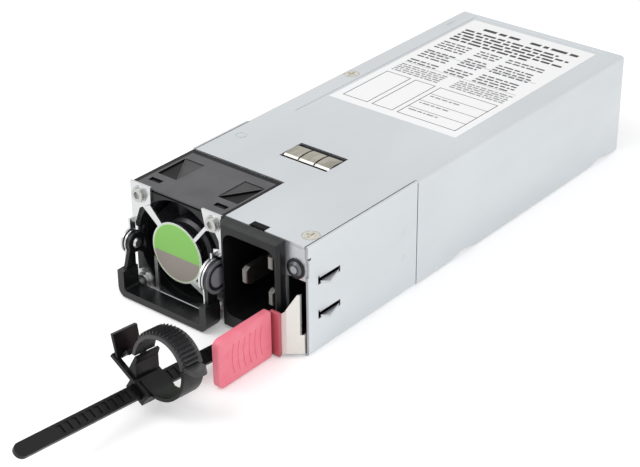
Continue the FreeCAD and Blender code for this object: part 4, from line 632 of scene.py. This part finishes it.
class PSU_OT_finishes(bpy.types.Operator):
    """Give every solid of the power supply its finish"""

    bl_idname = "psu.finishes"
    bl_label = "Finishes"

    def execute(self, context):
        left = set(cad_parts)
        for material, nodes in finishes(context.scene.psu_colours):
            for node in nodes:
                dress(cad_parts[node], material)
                left.discard(node)
        if left:
            raise RuntimeError("no finish for " + ", ".join(sorted(left)))
        return {"FINISHED"}


class PSU_OT_label_print(bpy.types.Operator):
    """Print generic dashes, rules and empty boxes on the rating label"""

    bl_idname = "psu.label_print"
    bl_label = "Label Print"

    WORDS = (3.1, 1.7, 4.2, 2.4, 1.1, 3.6, 2.0, 2.8)        # lengths as shares of a line's height
    BOLD, BODY, FINE, FAINT = 1.9, 1.35, 0.95, 0.8           # heights of the lines, mm
    BODY_SHARES = (0.86, 0.98, 0.9, 1.0, 0.72)
    COLUMNS = ((0.0, 0.26), (0.34, 0.2), (0.6, 0.34))       # start and length, as shares of the width
    FINE_ROWS, RULED_ROWS, FAINT_ROWS = 12, (5, 11), 5

    def line(self, y, left, right, height, start):
        """Dashes of uneven length along one line, as (x from, x to, y from, y to)."""
        dashes = []
        x = left
        index = start
        while x < right - 1.0:
            end = min(x + self.WORDS[index % len(self.WORDS)] * height, right)
            dashes.append((x, end, y - height / 2, y + height / 2))
            x = end + 0.7 * height
            index += 1
        return dashes

    def box(self, left, right, low, high, rule=0.3):
        """An empty box of four rules."""
        return [(left, right, low, low + rule), (left, right, high - rule, high),
                (left, left + rule, low, high), (right - rule, right, low, high)]

    def execute(self, context):
        sizes = context.scene.psu_sizes
        low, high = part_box("rating_label")
        left, right = low[0] / MM + 3.0, high[0] / MM - 3.0
        front, rear = low[1] / MM + 4.0, high[1] / MM - 5.0
        pitch = sizes.line_pitch / MM
        bold = self.line(rear - 1.0, left + 5.5, left + 22.0, self.BOLD, 0)
        bold += self.line(rear - 1.0, left + 27.0, right - 1.0, self.BOLD, 3)
        y = rear - 5.4
        for row, share in enumerate(self.BODY_SHARES):
            bold += self.line(y, left, left + (right - left) * share, self.BODY, 2 * row)
            y -= pitch
        fine = []
        y -= 1.2
        for row in range(self.FINE_ROWS):
            for column, (start, share) in enumerate(self.COLUMNS):
                if (row + column) % 5 != 4:
                    x = left + (right - left) * start
                    fine += self.line(y, x, x + (right - left) * share, self.FINE, row + 3 * column)
            if row in self.RULED_ROWS:
                fine.append((left, right, y - 1.25, y - 1.1))
            y -= pitch * 0.82
        faint = []
        for row in range(self.FAINT_ROWS):
            faint += self.line(y - 1.2, left, left + 21.0, self.FAINT, row)
            faint += self.line(y - 1.2, left + 26.0, right, self.FAINT, row + 3)
            y -= pitch * 0.6
        bottom = y - 2.4
        boxes = self.box(left, left + 11.0, front, bottom) + self.box(left + 13.0, left + 22.0, front, bottom)
        boxes += self.box(left + 24.0, right, front, bottom)
        for share in (0.25, 0.5, 0.75):
            rule = front + (bottom - front) * share
            boxes.append((left + 24.0, right, rule, rule + 0.25))
            faint += self.line(rule - 1.6, left + 25.5, left + 38.0, self.FAINT, int(8 * share))
        self.print_piece("label_print", bold + boxes, high[2], sizes.ink_height,
                         ink("resin_print", "#2A2A2C"))
        self.print_piece("label_fine_print", fine, high[2], sizes.ink_height,
                         ink("resin_print_thin", "#4C4C4F"))
        self.print_piece("label_faint_print", faint, high[2], sizes.ink_height,
                         ink("resin_print_faint", "#8A8A8C"))
        return {"FINISHED"}

    def print_piece(self, name, dashes, top, height, material):
        """One block is made, and copied to each dash with its own mesh."""
        first = add_block(name, (0.0, 0.0, top), (MM, MM, top + height))
        pieces = []
        for x_from, x_to, y_from, y_to in dashes:
            piece = first.copy()
            piece.data = first.data.copy()
            piece.data.transform(Matrix.Translation((x_from * MM, y_from * MM, 0.0))
                                 @ Matrix.Diagonal((x_to - x_from, y_to - y_from, 1.0, 1.0)))
            bpy.context.scene.collection.objects.link(piece)
            pieces.append(piece)
        bpy.data.objects.remove(first)
        piece = join_pieces(name, pieces)
        dress(piece, material)
        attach(piece, "housing")


class PSU_OT_paddle(bpy.types.Operator):
    """Model the latch's paddle: a soft-edged plate with curved grooves, on a neck painted darker as shade"""

    bl_idname = "psu.paddle"
    bl_label = "Paddle"

    PLATE = 2.8
    PLATE_LENGTH = 24.4
    NECK_DEPTH = 1.25
    ROUND = 0.5

    def execute(self, context):
        sizes = context.scene.psu_sizes
        low, high = in_mm(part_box("latch_grip"))
        right, rear = low[0] + self.PLATE, low[1] + self.PLATE_LENGTH
        plate = self.block("paddle_plate", (low[0] + self.ROUND, low[1], low[2]),
                           (right - self.ROUND, rear, high[2]))
        self.round_corners(plate, low[1], 2.6, 8)
        self.round_corners(plate, rear, 1.1, 4)
        self.round_rim(plate)
        self.cut_grooves(plate, sizes, right, low, rear, high)
        bridge = self.block("paddle_bridge", (low[0] + 0.5, rear - 0.6, low[2] + 0.3),
                            (right - 0.7, high[1] - self.NECK_DEPTH + 0.2, high[2] - 1.3))
        self.soften(bridge, 0.15)
        neck = self.block("paddle_neck", (right - 1.7, high[1] - self.NECK_DEPTH, low[2]),
                          (high[0], high[1], high[2] - 1.0))
        self.soften(neck, 0.35)
        piece = join_pieces("latch_paddle", [plate, bridge, neck])
        bpy.ops.object.shade_smooth_by_angle(angle=math.radians(35.0))
        dress(piece, paddle_plastic(context.scene.psu_colours))
        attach(piece, "latch")
        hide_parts("latch_grip")
        return {"FINISHED"}

    def block(self, name, low, high):
        """A block between two corners in millimetres."""
        return add_block(name, [value * MM for value in low], [value * MM for value in high])

    def round_corners(self, piece, y, radius, steps):
        """Bevels the two edges that run across the plate at one end."""
        vertices = piece.data.vertices

        def at_end(edge):
            a, b = (vertices[index].co for index in edge.vertices)
            return abs(a.y - y * MM) < 1e-6 and abs(b.y - y * MM) < 1e-6 and abs(a.x - b.x) > 1e-4

        edit_only(piece, "EDGE", at_end)
        bpy.ops.mesh.bevel(offset=radius * MM, segments=steps, affect="EDGES")
        end_edit()

    def round_rim(self, piece):
        """Insets the two broad faces in three steps along a quarter circle, which rounds their rims."""
        edit_only(piece, "FACE", lambda face: abs(face.normal.x) > 0.9)
        angles = [math.radians(angle) for angle in (0.0, 30.0, 60.0, 90.0)]
        for first, second in zip(angles, angles[1:]):
            bpy.ops.mesh.inset(thickness=self.ROUND * MM * (math.cos(first) - math.cos(second)),
                               depth=self.ROUND * MM * (math.sin(second) - math.sin(first)))
        end_edit()

    def soften(self, piece, width):
        """Rounds all sharp edges a little."""
        pick(piece)
        bevel = piece.modifiers.new("soft_edges", "BEVEL")
        bevel.width = width * MM
        bevel.segments = 3
        bevel.limit_method = "ANGLE"
        bevel.angle_limit = math.radians(50.0)
        bpy.ops.object.modifier_apply(modifier=bevel.name)

    def cut_grooves(self, plate, sizes, right, low, rear, high):
        """Curved rods, spun from a small ring, cut out of the plate's outer face."""
        bow, half_angle = 18.0, math.radians(17.0)
        middle = (low[2] + high[2]) / 2
        pitch = (rear - low[1] - 9.0) / sizes.groove_count
        rods = []
        for index in range(sizes.groove_count):
            fresh()
            crown = low[1] + 6.0 + index * pitch
            centre = Vector((right * MM, (crown + bow) * MM, middle * MM))
            start = centre + Vector((0.0, -math.cos(half_angle), -math.sin(half_angle))) * bow * MM
            bpy.ops.mesh.primitive_circle_add(vertices=10, radius=sizes.groove_width / 2, fill_type="NGON",
                                              location=start, rotation=(half_angle, 0.0, 0.0))
            rod = bpy.context.object
            bake_place(rod)
            bpy.ops.object.mode_set(mode="EDIT")
            bpy.ops.mesh.select_all(action="SELECT")
            bpy.ops.mesh.spin(steps=20, angle=2.0 * half_angle, center=centre, axis=(1.0, 0.0, 0.0))
            bpy.ops.mesh.select_all(action="SELECT")
            bpy.ops.mesh.remove_doubles(threshold=1e-6)
            bpy.ops.mesh.normals_make_consistent(inside=False)
            bpy.ops.object.mode_set(mode="OBJECT")
            rods.append(rod)
        cutter = join_pieces("paddle_groove_cutter", rods)
        pick(plate)
        groove = plate.modifiers.new("grooves", "BOOLEAN")
        groove.operation = "DIFFERENCE"
        groove.solver = "EXACT"
        groove.object = cutter
        bpy.ops.object.modifier_apply(modifier=groove.name)
        bpy.data.objects.remove(cutter)


class PSU_OT_stage(bpy.types.Operator):
    """Pale floor, soft studio light and the camera"""

    bl_idname = "psu.stage"
    bl_label = "Stage"

    def execute(self, context):
        self.add_floor()
        for lamp in LAMPS:
            self.add_light(*lamp)
        self.add_world(context)
        self.add_camera(context)
        return {"FINISHED"}

    def add_floor(self):
        """A white sweep that glows a little where the camera and mirrors see it."""
        fresh()
        bpy.ops.mesh.primitive_plane_add(size=FLOOR_SIZE, location=(0.0, 0.0, -FLOOR_DROP))
        floor = bpy.context.object
        floor.name = "floor"
        material = bpy.data.materials.new("white_paper_sweep")
        material.use_nodes = True
        tree = material.node_tree
        tree.nodes.remove(tree.nodes["Principled BSDF"])
        diffuse = add_node(tree, "ShaderNodeBsdfDiffuse", {"Color": linear("#F4F4F4")})
        glow = add_node(tree, "ShaderNodeEmission", {"Color": (1.0, 1.0, 1.0, 1.0), "Strength": FLOOR_GLOW})
        both = add_node(tree, "ShaderNodeAddShader", {0: diffuse.outputs["BSDF"], 1: glow.outputs["Emission"]})
        mix = add_node(tree, "ShaderNodeMixShader", {
            "Fac": self.seen(tree), 1: diffuse.outputs["BSDF"], 2: both.outputs["Shader"]})
        tree.links.new(mix.outputs["Shader"], tree.nodes["Material Output"].inputs["Surface"])
        dress(floor, material)

    def seen(self, tree):
        """1 for camera and mirror rays, else 0."""
        path = add_node(tree, "ShaderNodeLightPath")
        return calculate(tree, path.outputs["Is Camera Ray"], path.outputs["Is Glossy Ray"], "MAXIMUM")

    def add_light(self, name, place, size, power):
        """A square lamp turned to the object."""
        data = bpy.data.lights.new(name, "AREA")
        data.size = size
        data.energy = power
        lamp = bpy.data.objects.new(name, data)
        bpy.context.scene.collection.objects.link(lamp)
        lamp.location = place
        aim = Vector(LAMP_AIM) - Vector(place)
        lamp.rotation_euler = aim.to_track_quat("-Z", "Y").to_euler()

    def add_world(self, context):
        """Even white light from all round."""
        world = bpy.data.worlds.new("white_room")
        world.use_nodes = True
        tree = world.node_tree
        strength = add_node(tree, "ShaderNodeMapRange", {
            "Value": self.seen(tree), "To Min": WORLD_LIGHT, "To Max": WORLD_SEEN})
        background = tree.nodes["Background"]
        background.inputs["Color"].default_value = (1.0, 1.0, 1.0, 1.0)
        tree.links.new(strength.outputs["Result"], background.inputs["Strength"])
        context.scene.world = world
        context.scene.view_settings.view_transform = "Standard"

    def add_camera(self, context):
        """The camera, from its place, direction and roll."""
        azimuth, elevation, roll = (
            math.radians(angle) for angle in (CAMERA_AZIMUTH, CAMERA_ELEVATION, CAMERA_ROLL))
        back = Vector((math.sin(azimuth) * math.cos(elevation), -math.cos(azimuth) * math.cos(elevation),
                       math.sin(elevation)))
        right = (-back).cross(Vector((0.0, 0.0, 1.0))).normalized()
        up = right.cross(-back)
        turned_right = right * math.cos(roll) + up * math.sin(roll)
        turned_up = up * math.cos(roll) - right * math.sin(roll)
        data = bpy.data.cameras.new("camera")
        data.sensor_width = CAMERA_SENSOR
        data.lens = CAMERA_LENS
        data.clip_start = 0.01
        camera = bpy.data.objects.new("camera", data)
        context.scene.collection.objects.link(camera)
        axes = Matrix((turned_right, turned_up, back)).transposed()
        camera.matrix_world = Matrix.Translation(CAMERA_PLACE) @ axes.to_4x4()
        context.scene.camera = camera


OPERATORS = (PSU_OT_finishes, PSU_OT_label_print, PSU_OT_paddle, PSU_OT_stage)


class PSU_PT_panel(bpy.types.Panel):
    """Lists the power supply's operators"""

    bl_idname = "PSU_PT_panel"
    bl_label = "Power Supply"
    bl_space_type = "VIEW_3D"
    bl_region_type = "UI"
    bl_category = "Power Supply"

    def draw(self, context):
        layout = self.layout
        for group in (context.scene.psu_sizes, context.scene.psu_colours):
            for name in group.bl_rna.properties.keys():
                if name not in {"rna_type", "name"}:
                    layout.prop(group, name)
        for operator in OPERATORS:
            layout.operator(operator.bl_idname)


CLASSES = (PowerSupplySizes, PowerSupplyColours) + OPERATORS + (PSU_PT_panel,)


def register():
    for cls in CLASSES:
        bpy.utils.register_class(cls)
    bpy.types.Scene.psu_sizes = PointerProperty(type=PowerSupplySizes)
    bpy.types.Scene.psu_colours = PointerProperty(type=PowerSupplyColours)


def unregister():
    del bpy.types.Scene.psu_colours
    del bpy.types.Scene.psu_sizes
    for cls in reversed(CLASSES):
        bpy.utils.unregister_class(cls)


def main():
    register()
    bpy.ops.psu.finishes()
    bpy.ops.psu.label_print()
    bpy.ops.psu.paddle()
    bpy.ops.psu.stage()


if __name__ == "__main__":
    main()
